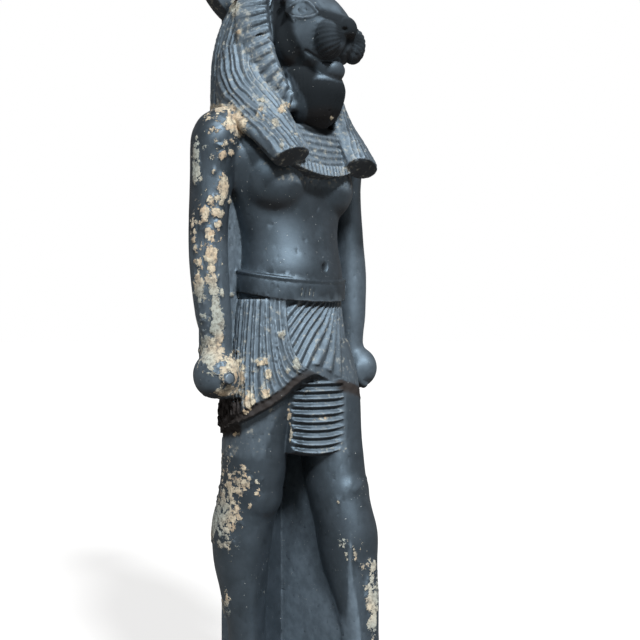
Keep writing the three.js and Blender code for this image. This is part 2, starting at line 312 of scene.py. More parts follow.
@dataclass
class Sweep:
    """A form swept along a line of points, with an oval section."""

    points: Stations
    wide: tuple[Track, Track, Track]
    half_wide: Callable[[Array], Array]
    half_thick: Callable[[Array], Array]
    cut: Shape | None = None

    def __post_init__(self) -> None:
        """Measures the line."""
        places = np.asarray(self.points, float)
        steps = np.linalg.norm(np.diff(places, axis=0), axis=1)
        shares = np.concatenate([[0.0], np.cumsum(steps) / steps.sum()])
        self.line = [Track(shares, places[:, axis]) for axis in range(3)]

    def place(self, share: Array) -> Array:
        """Returns the line's point at each share of its length."""
        return np.stack([axis(share) for axis in self.line], axis=1)

    def __call__(self, share: Array, angle: Array) -> Array:
        """Returns the form's point at each share and turn, for skin()."""
        step = 0.01
        along = self.place(np.clip(share + step, 0, 1)) - self.place(np.clip(share - step, 0, 1))
        along /= np.linalg.norm(along, axis=1, keepdims=True)
        across = np.stack([axis(share) for axis in self.wide], axis=1)
        across -= along * (along * across).sum(axis=1, keepdims=True)
        across /= np.linalg.norm(across, axis=1, keepdims=True)
        out = np.cross(across, along)
        depth = self.cut(share, angle) if self.cut else 0.0
        wide = np.cos(angle) * (self.half_wide(share) - depth)
        thick = np.sin(angle) * (self.half_thick(share) - depth)
        return self.place(share) + across * wide[:, None] + out * thick[:, None]


def steady(direction: Sequence[float]) -> tuple[Track, Track, Track]:
    """Returns a direction that stays the same along a sweep."""
    return tuple(Track([0, 1], [value, value + 1e-6]) for value in direction)


def ball(
    middle: Sequence[float],
    radii: Sequence[float],
    turn: Sequence[float] = (0.0, 0.0, 0.0),
    name: str = "ball",
) -> bpy.types.Mesh:
    """An egg-shaped form.

    Args:
        middle: Its centre, as x, forward and height.
        radii: Its half sizes across, forward and up.
        turn: Its turn in degrees about x, forward and height, in that order.
        name: The mesh's name.

    Returns:
        The closed mesh.
    """
    bm = bmesh.new()
    bmesh.ops.create_icosphere(bm, subdivisions=4, radius=1.0)
    turned = Euler([math.radians(value) for value in turn]).to_matrix().to_4x4()
    size = Matrix.Diagonal((*radii, 1.0))
    matrix = Matrix.Translation(middle) @ turned @ size
    bmesh.ops.transform(bm, matrix=matrix, verts=bm.verts)
    return mesh_of(bm, name)


def block(low: Sequence[float], high: Sequence[float], edge: float, name: str = "block") -> bpy.types.Mesh:
    """A squared block with worn edges.

    Args:
        low: Its lowest corner, as x, forward and height.
        high: Its highest corner.
        edge: How wide its worn edges are.
        name: The mesh's name.

    Returns:
        The closed mesh.
    """
    bm = bmesh.new()
    bmesh.ops.create_cube(bm, size=1.0)
    size = [h - l for l, h in zip(low, high)]
    middle = [(h + l) / 2 for l, h in zip(low, high)]
    bmesh.ops.scale(bm, vec=size, verts=bm.verts)
    bmesh.ops.translate(bm, vec=middle, verts=bm.verts)
    bmesh.ops.bevel(
        bm,
        geom=bm.edges[:],
        offset=edge,
        segments=2,
        profile=0.5,
        affect="EDGES",
        material=-1,
    )
    return mesh_of(bm, name)


def mirrored(mesh: bpy.types.Mesh) -> bpy.types.Mesh:
    """Returns the same form on the figure's other side."""
    other = mesh.copy()
    other.transform(Matrix.Diagonal((-1.0, 1.0, 1.0, 1.0)))
    return other


def both(forms: Sequence[bpy.types.Mesh]) -> list[bpy.types.Mesh]:
    """Returns forms of the figure's right side together with their copies on its left."""
    return [*forms, *(mirrored(form) for form in forms)]


def evaluated(mesh: bpy.types.Mesh, dress: Callable[[bpy.types.Object], None]) -> bpy.types.Mesh:
    """Applies modifiers to a mesh.

    Args:
        mesh: The mesh, which is used up.
        dress: Adds the modifiers to the object that carries the mesh.

    Returns:
        The new mesh.
    """
    carrier = bpy.data.objects.new("carrier", mesh)
    bpy.context.scene.collection.objects.link(carrier)
    dress(carrier)
    graph = bpy.context.evaluated_depsgraph_get()
    result = bpy.data.meshes.new_from_object(carrier.evaluated_get(graph), depsgraph=graph)
    bpy.data.objects.remove(carrier)
    bpy.data.meshes.remove(mesh)
    return result


def fused(forms: Sequence[bpy.types.Mesh], voxel: float, settle: int) -> bpy.types.Mesh:
    """Fuses overlapping closed forms into one closed skin and evens it.

    Args:
        forms: The forms, which are used up.
        voxel: How fine the new skin is.
        settle: How many times the skin is evened, which rounds its inner and outer corners.

    Returns:
        The new skin.
    """
    bm = bmesh.new()
    for form in forms:
        bm.from_mesh(form)
        bpy.data.meshes.remove(form)
    bmesh.ops.recalc_face_normals(bm, faces=bm.faces)

    def dress(carrier: bpy.types.Object) -> None:
        """Adds the new skin and its evening."""
        remesh = carrier.modifiers.new("remesh", "REMESH")
        remesh.mode = "VOXEL"
        remesh.voxel_size = voxel
        if settle:
            even = carrier.modifiers.new("even", "SMOOTH")
            even.factor = 0.5
            even.iterations = settle

    return evaluated(mesh_of(bm, "fused"), dress)


class Side(Enum):
    """Which side of the figure a mark is cut on."""

    RIGHT = "right"
    LEFT = "left"


class Stone:
    """A fused skin whose points are carved along their normals, in figure millimetres."""

    def __init__(self, mesh: bpy.types.Mesh) -> None:
        """Reads the skin.

        Args:
            mesh: The fused skin.
        """
        self.mesh = mesh
        self.points = read_points(mesh)
        normals = np.empty(len(mesh.vertices) * 3, np.float32)
        mesh.vertex_normals.foreach_get("vector", normals)
        self.normals = normals.reshape(-1, 3).astype(float)
        self.rise = np.zeros(len(self.points))
        self.masks: dict[str, Array] = {}

    def carve(self) -> None:
        """Moves every point by its rise, and starts again from the new skin."""
        write_points(self.mesh, self.points + self.normals * self.rise[:, None])
        masks = self.masks
        self.__init__(self.mesh)
        self.masks = masks

    def picture(self, side: Side = Side.RIGHT) -> tuple[Array, Array, Array]:
        """Where each point stands in the picture.

        Args:
            side: LEFT mirrors the figure first, so that a mark falls on its other side.

        Returns:
            The place across and down in pixels, and how far the skin faces the camera.
        """
        flip = -1.0 if side is Side.LEFT else 1.0
        x, ahead, height = self.points.T
        across = DIAGONAL * (flip * x + ahead)
        near = CAMERA_DISTANCE - DIAGONAL * (ahead - flip * x)
        right = PICTURE / 2 + FOCAL_PIXELS * (across - CAMERA_SIDE) / near
        down = PICTURE / 2 - FOCAL_PIXELS * (height - CAMERA_HEIGHT) / near
        facing = DIAGONAL * (self.normals[:, 1] - flip * self.normals[:, 0])
        return right, down, facing

    def near(self, middle: Sequence[float], radii: Sequence[float]) -> Array:
        """How deep each point lies in an egg-shaped region.

        Args:
            middle: The region's centre, as x, forward and height.
            radii: Its half sizes.

        Returns:
            1 at the centre, falling to 0 at the edge and below 0 outside.
        """
        return 1.0 - np.linalg.norm((self.points - middle) / radii, axis=1)


def stroke_distance(right: Array, down: Array, line: Stations) -> Array:
    """The distance from each point to a line of straight strokes.

    Args:
        right: The points' places across.
        down: The points' places down.
        line: The line's corners, as places across and down.

    Returns:
        The distance for each point.
    """
    best = np.full(len(right), np.inf)
    for (x0, y0), (x1, y1) in zip(line, line[1:]):
        length = (x1 - x0) ** 2 + (y1 - y0) ** 2
        t = np.clip(((right - x0) * (x1 - x0) + (down - y0) * (y1 - y0)) / length, 0.0, 1.0)
        best = np.minimum(best, np.hypot(right - x0 - t * (x1 - x0), down - y0 - t * (y1 - y0)))
    return best


class Part:
    """A sub-assembly of the statue: its forms, its carving and its weathering."""

    def soft(self) -> list[bpy.types.Mesh]:
        """Returns the forms that flow into each other."""
        return []

    def crisp(self) -> list[bpy.types.Mesh]:
        """Returns the forms that keep sharp joins."""
        return []

    def carve(self, stone: Stone) -> None:
        """Cuts the part's lines and hollows into the fused skin."""


@dataclass
class StandingStone(Part):
    """What was left of the block: the base, the pillar behind and the panels beside the limbs."""

    half_width: float = 41.0
    back: float = -37.0
    front: float = 79.0
    base_height: float = SOLE_HEIGHT
    pillar_half: float = 12.0
    pillar_back: float = -33.0
    pillar_front: float = -14.0
    pillar_top: float = 330.0
    worn_edge: float = 1.1
    web_inner: float = 9.5
    web_thick: float = 6.0
    web_top: float = 130.0
    panel_half: float = 42.0
    panel_depth: tuple[float, float] = (-11.0, -2.6)
    panel_heights: tuple[float, float] = (150.0, 256.0)
    chip_size: float = 1.3
    chip_depth: float = 0.22

    def crisp(self) -> list[bpy.types.Mesh]:
        """Returns the base, the pillar and the panels."""
        base_low = (-self.half_width, self.back, -self.base_height)
        pillar_low = (-self.pillar_half, self.pillar_back, -1.0)
        pillar_high = (self.pillar_half, self.pillar_front, self.pillar_top)
        (back, front), (low, high) = self.panel_depth, self.panel_heights
        return [
            block(base_low, (self.half_width, self.front, 0.0), self.worn_edge),
            block(pillar_low, pillar_high, self.worn_edge),
            block((-self.panel_half, back, low), (self.panel_half, front, high), 0.4),
            self.stride_panel(),
        ]

    def stride_panel(self) -> bpy.types.Mesh:
        """Returns the panel that joins the advanced leg to the pillar."""

        def shape(across: Array, up: Array, face: Array) -> Array:
            """Returns the panel's points, which follow the advanced leg."""
            height = mix(-1.0, self.web_top, up)
            forward = mix(-18.0, STRIDE(height) - 9.0, across)
            return np.stack([self.web_inner + self.web_thick * face, forward, height], axis=1)

        return panel(3, 60, shape, "stride_panel")

    def carve(self, stone: Stone) -> None:
        """Leaves the panels beside the arms rough from the chisel."""
        x, forward, height = stone.points.T
        beside = smooth_step(24.0, 26.0, np.abs(x)) * smooth_step(1.5, -1.0, forward)
        beside *= smooth_step(150.0, 156.0, height) * (stone.normals[:, 1] > 0.5)
        chips = Grain(SEED + 1)(stone.points * (1.0, 1.0, 0.5), self.chip_size, 2)
        stone.rise += self.chip_depth * beside * chips


STRIDE = Track(
    (2, 38, 70, 84, 96, 106, 120, 150, 170),
    (40, 38.5, 33.6, 31.7, 26, 20.2, 15, 8, 2),
)


@dataclass
class Legs(Part):
    """The striding legs and their feet."""

    squareness: float = 2.1
    shin_turn: float = -0.5
    shin_width: float = 0.3
    shin_proud: float = 0.45
    toes: int = 5
    foot_x: float = 15.5
    right_heel: float = -19.0
    left_heel: float = 21.0
    knee_x: float = 16.2
    knee_proud: float = 3.6
    knee_height: float = 101.0
    knee_size: tuple[float, float, float] = (9.4, 5.0, 10.0)
    ankle_out: float = 7.4
    ankle_size: tuple[float, float, float] = (2.6, 4.0, 4.0)
    first_toe: float = -8.6
    big_toe: float = 2.5
    small_toe: float = 1.75
    toe_length: float = 9.0
    toe_reach: float = 53.0
    toe_step: float = 1.7

    STATIONS = (
        (2, -15.5, -8, 8.4, 11),
        (16, -15.5, -8.5, 8, 9.6),
        (38, -16.2, -9.0, 7.8, 9.0),
        (55, -17, -10.2, 9.6, 11.0),
        (70, -17.2, -11.6, 11.6, 13.4),
        (84, -17.0, -11.0, 12.6, 14.8),
        (96, -16.2, -8.5, 13, 14.8),
        (106, -16.2, -5.6, 13.4, 14.8),
        (120, -16.5, -3, 13.6, 14.8),
        (150, -16, -2, 15.5, 18),
        (170, -14, -1, 16, 18),
    )
    FOOT = (
        (0, 0, 6, 5, 5.5),
        (4, 0, 8, 7.5, 8),
        (16, 0, 10, 8.2, 10.5),
        (28, 0, 7.5, 8.8, 8),
        (38, 0, 4.8, 9.4, 5.6),
        (46, 0, 3.6, 8.8, 4.2),
    )

    def soft(self) -> list[bpy.types.Mesh]:
        """Returns the legs, knees and feet."""
        left = [(z, -x, f + float(STRIDE(z)), w, d) for z, x, f, w, d in self.STATIONS]
        forms = [
            skin(120, 64, raised(self.STATIONS, self.squareness, self.shin(1.0))),
            skin(120, 64, raised(left, self.squareness, self.shin(-1.0))),
        ]
        for side, lead in ((-1.0, 0.0), (1.0, float(STRIDE(self.knee_height + 1.0)))):
            knee = (side * self.knee_x, lead + self.knee_proud, self.knee_height)
            forms.append(ball(knee, self.knee_size))
        for side, heel in self.heels():
            forms.append(self.foot(side * self.foot_x, heel))
            for out, ahead, height in ((self.ankle_out, 12.0, 19.0), (-self.ankle_out, 13.0, 20.0)):
                forms.append(ball((side * (self.foot_x + out), heel + ahead, height), self.ankle_size))
        return forms

    def heels(self) -> tuple[tuple[float, float], ...]:
        """Returns each foot's side, as a sign, and where its heel stands."""
        return ((-1.0, self.right_heel), (1.0, self.left_heel))

    def toe_spots(self) -> list[tuple[int, float, float]]:
        """Returns each toe's number, half width and place across the foot."""
        spots = []
        edge = self.first_toe
        for toe in range(self.toes):
            half = self.small_toe if toe else self.big_toe
            spots.append((toe, half, edge + half))
            edge += 2.0 * half
        return spots

    def shin(self, side: float) -> Shape:
        """Returns the ridge of the shin bone, as a cut below the skin, for the side given by a sign."""

        def cut(level: Array, angle: Array) -> Array:
            """Returns the hollow beside the bone, less the bone itself."""
            along = smooth_step(14.0, 34.0, level) * smooth_step(94.0, 78.0, level)
            turn = (angle - side * self.shin_turn) / self.shin_width
            hollow = (angle - side * (self.shin_turn + 0.75)) / 0.35
            return along * (0.8 * np.exp(-(hollow**2)) - self.shin_proud * np.exp(-(turn**2)))

        return cut

    def foot(self, x: float, heel: float) -> bpy.types.Mesh:
        """Returns the body of a foot that starts from its heel."""
        mesh = skin(50, 48, raised(self.FOOT, 2.6, lying=True), "foot")
        mesh.transform(Matrix.Translation((x, heel, 0.0)))
        return mesh

    def crisp(self) -> list[bpy.types.Mesh]:
        """Returns the toes."""
        forms = []
        for side, heel in self.heels():
            for toe, half, place in self.toe_spots():
                length = self.toe_length * (1.0 - 0.1 * toe)
                ahead = heel + self.toe_reach - self.toe_step * toe - length
                middle = (side * (self.foot_x + place), ahead, half + 0.2)
                forms.append(ball(middle, (half, length, half + 0.3)))
        return forms

    def carve(self, stone: Stone) -> None:
        """Cuts the toe nails and the crease over the advanced knee."""
        for side, heel in self.heels():
            for toe, half, place in self.toe_spots():
                ahead = heel + self.toe_reach - 2.0 - self.toe_step * toe
                nail = stone.near((side * (self.foot_x + place), ahead, 2 * half), (half * 0.7, 2.2, 1.8))
                stone.rise -= 0.3 * smooth_step(0.0, 0.25, nail)
        right, down, facing = stone.picture()
        crease = stroke_distance(right, down, ((356, 491), (361, 485), (367, 477)))
        stone.rise += 0.4 * np.exp(-((crease / 2.2) ** 2)) * (facing > 0.1)


@dataclass
class Trunk(Part):
    """The bare body above the kilt."""

    squareness: float = 2.05
    navel: tuple[float, float] = (325.0, 267.0)
    navel_size: tuple[float, float] = (3.0, 5.0)
    navel_depth: float = 1.7
    breast: tuple[float, float, float] = (-15.5, 7.4, 238.0)
    breast_size: tuple[float, float, float] = (14.6, 13.8, 15.0)

    STATIONS = (
        (172, 0, 0.6, 25, 17.6),
        (184, 0, 0.6, 25.2, 18.6),
        (190, 0, 0.6, 26.8, 21.4),
        (199, 0, 0.8, 25.8, 22.8),
        (211, 0, 0.2, 25.2, 20.6),
        (224, 0, -0.4, 28, 18.4),
        (236, 0, -0.6, 32.5, 18.6),
        (249, 0, -1, 37, 19.4),
        (259, 0, -3, 37, 16),
        (265, 0, -4, 30, 13.5),
        (271, 0, -4, 18, 12),
        (288, 0, -2, 15, 14),
    )

    def soft(self) -> list[bpy.types.Mesh]:
        """Returns the chest, belly and breasts."""
        chest = skin(120, 96, raised(self.STATIONS, self.squareness), "chest")
        return [chest, *both([ball(self.breast, self.breast_size)])]

    def carve(self, stone: Stone) -> None:
        """Cuts the navel, with painted shade in its hollow, and the shallow furrow above it."""
        right, down, facing = stone.picture()
        x, forward, height = stone.points.T
        (across, below), (wide, high) = self.navel, self.navel_size
        pit = np.hypot((right - across) / wide, (down - below) / high)
        pit = smooth_step(1.15, 0.55, pit) * (facing > 0.1) * (forward > 15)
        stone.rise -= self.navel_depth * pit
        # Painted shade: the navel's hollow is darkened to near black.
        stone.masks["black_and_shade"] = 0.9 * pit
        furrow = np.exp(-((x / 3.0) ** 2)) * smooth_step(202, 208, height) * smooth_step(232, 222, height)
        stone.rise -= 0.35 * furrow * (forward > 10)


@dataclass
class Arms(Part):
    """The arms at the sides, each fist closed on a short staff end."""

    squareness: float = 2.1
    staff_x: float = -46.0
    staff_height: float = 154.0
    staff_radius: float = 2.2
    staff_ends: tuple[float, float] = (-6.0, 15.4)
    fingers: int = 4
    first_finger: float = 8.4
    finger_pitch: float = 4.6
    finger_curl: tuple[float, float] = (275.0, 385.0)
    finger_offset: float = 2.4
    fist: tuple[float, float, float] = (-43.4, 2.8, 155.0)
    fist_size: tuple[float, float, float] = (8.6, 11.2, 10.2)

    THUMB = ((-42.4, 1.5, 166.0), (-40.4, 6.6, 161.0), (-39.2, 9.4, 155.0), (-40.0, 9.4, 150.0))
    STATIONS = (
        (152, -43, 2, 6.5, 7.5),
        (166, -41.0, 1, 6.0, 6.2),
        (180, -42, -0.5, 7.4, 8),
        (203, -43.2, -2.2, 8.0, 8.6),
        (218, -42.4, -3.4, 8.0, 8.9),
        (240, -40, -4.2, 8.9, 9.8),
        (256, -38.6, -3.4, 10, 11),
        (264.5, -36.5, -3.8, 8, 9),
        (269, -34, -4, 4, 5),
    )

    def soft(self) -> list[bpy.types.Mesh]:
        """Returns the arms and the bodies of the fists."""
        limb = skin(100, 56, raised(self.STATIONS, self.squareness), "arm")
        return both([limb, ball(self.fist, self.fist_size)])

    def crisp(self) -> list[bpy.types.Mesh]:
        """Returns the staff ends, fingers and thumbs."""
        radius = self.staff_radius
        ends = [(f, self.staff_x, self.staff_height, radius, radius) for f in self.staff_ends]
        staff = skin(6, 32, raised(ends, 2.0, lying=True), "staff_end")
        places = [self.first_finger - self.finger_pitch * finger for finger in range(self.fingers)]
        thumb = Sweep(self.THUMB, steady((1, 0, 0)), lambda t: 3.2 - t, lambda t: 2.9 - t)
        return [staff, *both([*(self.finger(place) for place in places), skin(24, 24, thumb)])]

    def finger(self, forward: float) -> bpy.types.Mesh:
        """Returns a finger curled under the staff, at the given place along it."""
        turns = np.radians(np.linspace(*self.finger_curl, 9))
        reach = 1.0 - 0.1 * abs(forward - 2.0) / 8.0
        places = [
            (
                self.staff_x + self.finger_offset + 6.2 * reach * math.cos(turn),
                forward,
                self.staff_height + 7.2 * reach * math.sin(turn),
            )
            for turn in turns
        ]
        return skin(30, 20, Sweep(places, steady((0, 1, 0)), lambda t: 2.4 - 0 * t, lambda t: 2.3 - 0 * t))


@dataclass
class Belt(Part):
    """The belt, which dips at the front."""

    height: float = 9.6
    half_wide: float = 26.8
    half_deep: float = 21.1
    squareness: float = 2.15
    strokes: int = 4
    stroke_pitch: float = 4.0
    first_stroke: float = 301.5
    front_top: float = 195.5
    back_rise: float = 4.0
    proud: float = 1.3
    flare: float = 0.1

    def crisp(self) -> list[bpy.types.Mesh]:
        """Returns the belt with the fine ridge below its top edge."""

        def shape(share: Array, angle: Array) -> Array:
            """Returns the belt's points, higher towards the back."""
            ridge = 0.4 * np.exp(-(((share - 0.93) / 0.05) ** 2))
            line = 0.3 * np.exp(-(((share - 0.80) / 0.035) ** 2))
            proud = self.proud + self.flare * (1.0 - share) + ridge - line
            across, ahead = section(self.half_wide + proud, self.half_deep + proud, self.squareness, angle)
            rise = self.back_rise * (1.0 - np.cos(angle))
            height = self.front_top - self.height * (1.0 - share) + rise
            return np.stack([across, ahead + 0.6, height], axis=1)

        return [skin(48, 220, shape, "belt")]

    def carve(self, stone: Stone) -> None:
        """Cuts the small ornament of plain strokes at the front, which is no writing."""
        right, down, facing = stone.picture()
        for stroke in range(self.strokes):
            foot = self.first_stroke + self.stroke_pitch * stroke
            reach = stroke_distance(right, down, ((foot, 296.0), (foot + 1.0, 288.0 + stroke % 2)))
            cut = np.exp(-((reach / 1.0) ** 2)) * (facing > 0.3)
            stone.rise -= 0.25 * cut
            stone.masks["dust"] = np.maximum(stone.masks.get("dust", 0.0), 0.6 * cut)


@dataclass
class Kilt(Part):
    """The pleated kilt: a fanned lower layer, a wrap over its right side, and the tab between the thighs."""

    top: float = 187.0
    back_hem: float = 126.0
    fold_turn: float = 37.0
    lower_pitch: float = 13.0
    lower_depth: float = 1.7
    fan_turn: float = 48.0
    wrap_start: float = -178.0
    wrap_pleats: int = 38
    wrap_depth: float = 1.35
    wrap_proud: float = 1.7
    squareness: float = 2.15
    tab_sides: tuple[float, float] = (-11.6, 11.8)
    tab_heights: tuple[float, float] = (120.0, 152.0)
    tab_ridges: int = 10
    tab_depth: float = 2.4
    rim_height: float = 3.8
    rim_cut: float = 1.3

    WIDTH = Track((125, 150, 170, 187), (34.4, 31.8, 28.8, 26.6))
    DEPTH = Track((125, 150, 170, 187), (25.6, 23.6, 21.4, 20))
    AT_BELT = Track((0, 143, 250, 360), (0, 62, 250, 360))
    HEM = Track(
        (-180, -126, -80, -58, -41, -26, -9, 13, 53, 126, 180),
        (126, 128, 135.3, 140.1, 145, 151.3, 154.8, 149.8, 141.9, 130, 126),
    )

    def place(self, degrees: Array, height: Array, out: Array) -> Array:
        """A point of the kilt.

        Args:
            degrees: Its turn from the front, plus to the figure's left.
            height: Its height.
            out: How far it stands out from the kilt's plain surface.

        Returns:
            The point, as x, forward and height.
        """
        wide, deep = self.WIDTH(height) + out, self.DEPTH(height) + out
        across, ahead = section(wide, deep, self.squareness, np.radians(degrees))
        share = np.clip((height - self.back_hem) / (self.top - self.back_hem), 0.0, 1.0)
        return np.stack([across, ahead + mix(1.8, 0.6, share), height], axis=1)

    def crisp(self) -> list[bpy.types.Mesh]:
        """Returns the two layers and the tab."""
        return [self.lower_layer(), self.wrap(), self.tab()]

    def lower_layer(self) -> bpy.types.Mesh:
        """Returns the ring of pleats that fan out from above the figure's left hip."""

        def shape(share: Array, angle: Array) -> Array:
            """Returns the layer's points, whose pleats turn as they fall."""
            fall = 1.0 - share
            before = (self.fan_turn - np.degrees(angle)) % 360.0
            turned = self.fan_turn - mix(self.AT_BELT(before), before, fall)
            degrees = np.where(turned < -180.0, turned + 360.0, turned)
            height = mix(self.top, self.HEM(degrees), fall)
            rim = smooth_step(self.rim_height + 0.5, self.rim_height - 0.5, height - self.HEM(degrees))
            depth = self.lower_depth * reeds(before / self.lower_pitch, 0.65) * (1.0 - 0.8 * rim)
            return self.place(degrees, height, 0.2 - depth - self.rim_cut * rim)

        return skin(90, 504, shape, "lower_layer")

    def wrap(self) -> bpy.types.Mesh:
        """Returns the upper layer, whose curved edge crosses the front."""

        def shape(across: Array, up: Array, face: Array) -> Array:
            """Returns the wrap's points, whose last pleat follows its curved edge."""
            fall = 1.0 - up
            sweep = self.fold_turn * (1.0 - np.sqrt(1.0 - fall**2))
            degrees = mix(self.wrap_start, -self.fold_turn, across) + sweep * across**4
            hem = self.HEM(degrees) - 0.4
            height = mix(self.top, hem, fall)
            rim = smooth_step(self.rim_height + 0.5, self.rim_height - 0.5, height - hem)
            wander = 0.35 * np.sin(across * 19.0 + up * 2.0) + 0.2 * np.sin(across * 83.0)
            phase = self.wrap_pleats * across + wander
            border = smooth_step(0.999, 0.985, across)
            depth = self.wrap_depth * reeds(phase, 0.62) * (1.0 - 0.8 * rim) * border
            outer = self.wrap_proud - depth - self.rim_cut * rim
            return self.place(degrees, height, np.where(face > 0.5, outer, -4.0))

        return panel(560, 90, shape, "wrap")

    def tab(self) -> bpy.types.Mesh:
        """Returns the ridged tab."""
        low, high = self.tab_heights

        def shape(across: Array, up: Array, face: Array) -> Array:
            """Returns the tab's points, which bow forward in its middle."""
            bow = 1.0 - (2.0 * across - 1.0) ** 2
            height = mix(low - 1.8 * bow, high, up)
            lead = mix(17.2, 25.6, across) + 1.2 * bow
            edge = smooth_step(0.0, 0.03, across) * smooth_step(1.0, 0.97, across)
            depth = self.tab_depth * reeds(up * self.tab_ridges, 0.5) + 0.5 * (1.0 - edge)
            ahead = np.where(face > 0.5, lead - depth, lead - 14.0)
            return np.stack([mix(*self.tab_sides, across), ahead, height], axis=1)

        return panel(60, 170, shape, "tab")

    def carve(self, stone: Stone) -> None:
        """Breaks the kilt's low back corner on the figure's right."""
        right, down, facing = stone.picture()
        broken = smooth_step(243.0, 238.0, right) * smooth_step(396.0, 400.0, down)
        broken *= smooth_step(440.0, 432.0, down) * (facing > -0.6) * (stone.points[:, 0] > -36.0)
        chips = Grain(SEED + 2)(stone.points, 3.0, 3)
        stone.rise += broken * (1.1 * chips - 0.6)
        stone.masks["brown_and_shade"] = np.maximum(stone.masks.get("brown_and_shade", 0.0), broken)


@dataclass
class Wig(Part):
    """The wig: a hood with a lock behind each shoulder, and two locks that fall on the breast."""

    strand: float = 2.6
    strand_depth: float = 1.35
    squareness: float = 2.2
    girth: float = 172.0

    HOOD = (
        (238, 0, -15, 17, 8),
        (254, 0, -13, 26, 14),
        (266, 0, -11, 30.4, 19.8),
        (280, 0, -10, 31.4, 22),
        (293, 0, -9.6, 31, 22),
        (305, 0, -8.6, 29, 21),
        (316, 0, -6.6, 25, 19.4),
        (326, 0, -4.6, 18, 15),
        (333, 0, -3.6, 6, 6),
    )
    LOCK = ((-25.5, -4, 296), (-27.5, 0, 281), (-25.2, 9.6, 267), (-23.0, 18.4, 256.5), (-21.6, 26.4, 246.2))

    def crisp(self) -> list[bpy.types.Mesh]:
        """Returns the hood and the locks."""
        strands = round(self.girth / self.strand)

        def hood_cut(level: Array, angle: Array) -> Array:
            """Returns the depth of the grooves, which waver as they fall."""
            wave = 0.10 * np.sin(level * 0.15 + angle * 7.0) + 0.06 * np.sin(level * 0.5 + angle * 11.0)
            return self.strand_depth * self.strands(angle / (2 * np.pi) * strands + wave)

        hood = skin(150, 72 * 9, raised(self.HOOD, self.squareness, hood_cut), "hood")
        wide = (Track([0, 1], [0.35, 1.0]), Track([0, 1], [0.94, 0.2]), Track([0, 1], [0, 1e-6]))
        lock = Sweep(self.LOCK, wide, self.lock_half_wide, self.lock_half_thick, self.lock_cut)
        return [hood, *both([skin(170, 260, lock, "lock")])]

    @staticmethod
    def lock_half_wide(share: Array) -> Array:
        """Returns half the width of a front lock along its length."""
        return mix(9.0, 12.0, np.sin(share * np.pi)) + 0.6 * share

    @staticmethod
    def lock_half_thick(share: Array) -> Array:
        """Returns half the thickness of a front lock along its length."""
        return mix(6.5, 6.4, share)

    def lock_cut(self, share: Array, angle: Array) -> Array:
        """Returns the depth of the grooves between a lock's strands."""
        wave = 0.10 * np.sin(share * 11.0 + np.cos(angle) * 9.0) + 0.05 * np.sin(share * 41.0)
        phase = np.cos(angle) * self.lock_half_wide(share) / self.strand + wave
        side = np.abs(np.sin(angle)) ** 0.5
        end = smooth_step(1.0, 0.985, share)
        return self.strand_depth * self.strands(phase) * side * end + 0.5 * (1.0 - end)

    @staticmethod
    def strands(phase: Array) -> Array:
        """Returns the depth of the hair's grooves, with fine ones between and within the deep ones."""
        deep = reeds(phase + 0.16 * np.sin(phase * 2.3), 0.62)
        return np.maximum(deep, 0.55 * reeds(2.0 * phase + 0.5 * np.sin(phase * 1.7), 0.8))


@dataclass
class Collar(Part):
    """The broad collar between the front locks: rows of beads, the lowest one of drops."""

    half_width: float = 18.0
    low: float = 240.4
    high: float = 263.0
    rows: int = 6
    drop_height: float = 0.22
    bead: float = 1.25
    drop: float = 2.1

    def crisp(self) -> list[bpy.types.Mesh]:
        """Returns the collar."""

        def shape(across: Array, up: Array, face: Array) -> Array:
            """Returns the collar's points, with its beads and drops."""
            side = 2.0 * across - 1.0
            height = mix(self.low + 4.0 * side**2, self.high, up)
            lead = mix(26.4, 20.5, up) - 3.0 * side**2
            row = (up - self.drop_height) / (1.0 - self.drop_height) * self.rows
            inner = 1.0 - np.abs(side) ** 10
            beads = (1.0 * reeds(row, 0.9) + 0.2 * reeds(side * self.half_width / self.bead, 1.0)) * inner
            drops = 0.9 * reeds(side * self.half_width / self.drop, 1.0) * inner - 0.5
            lowest = smooth_step(self.drop_height + 0.01, self.drop_height - 0.01, up)
            depth = mix(beads, drops, lowest)
            ahead = np.where(face > 0.5, lead - depth, lead - 9.0)
            return np.stack([side * self.half_width, ahead, height], axis=1)

        return [panel(220, 130, shape, "collar")]


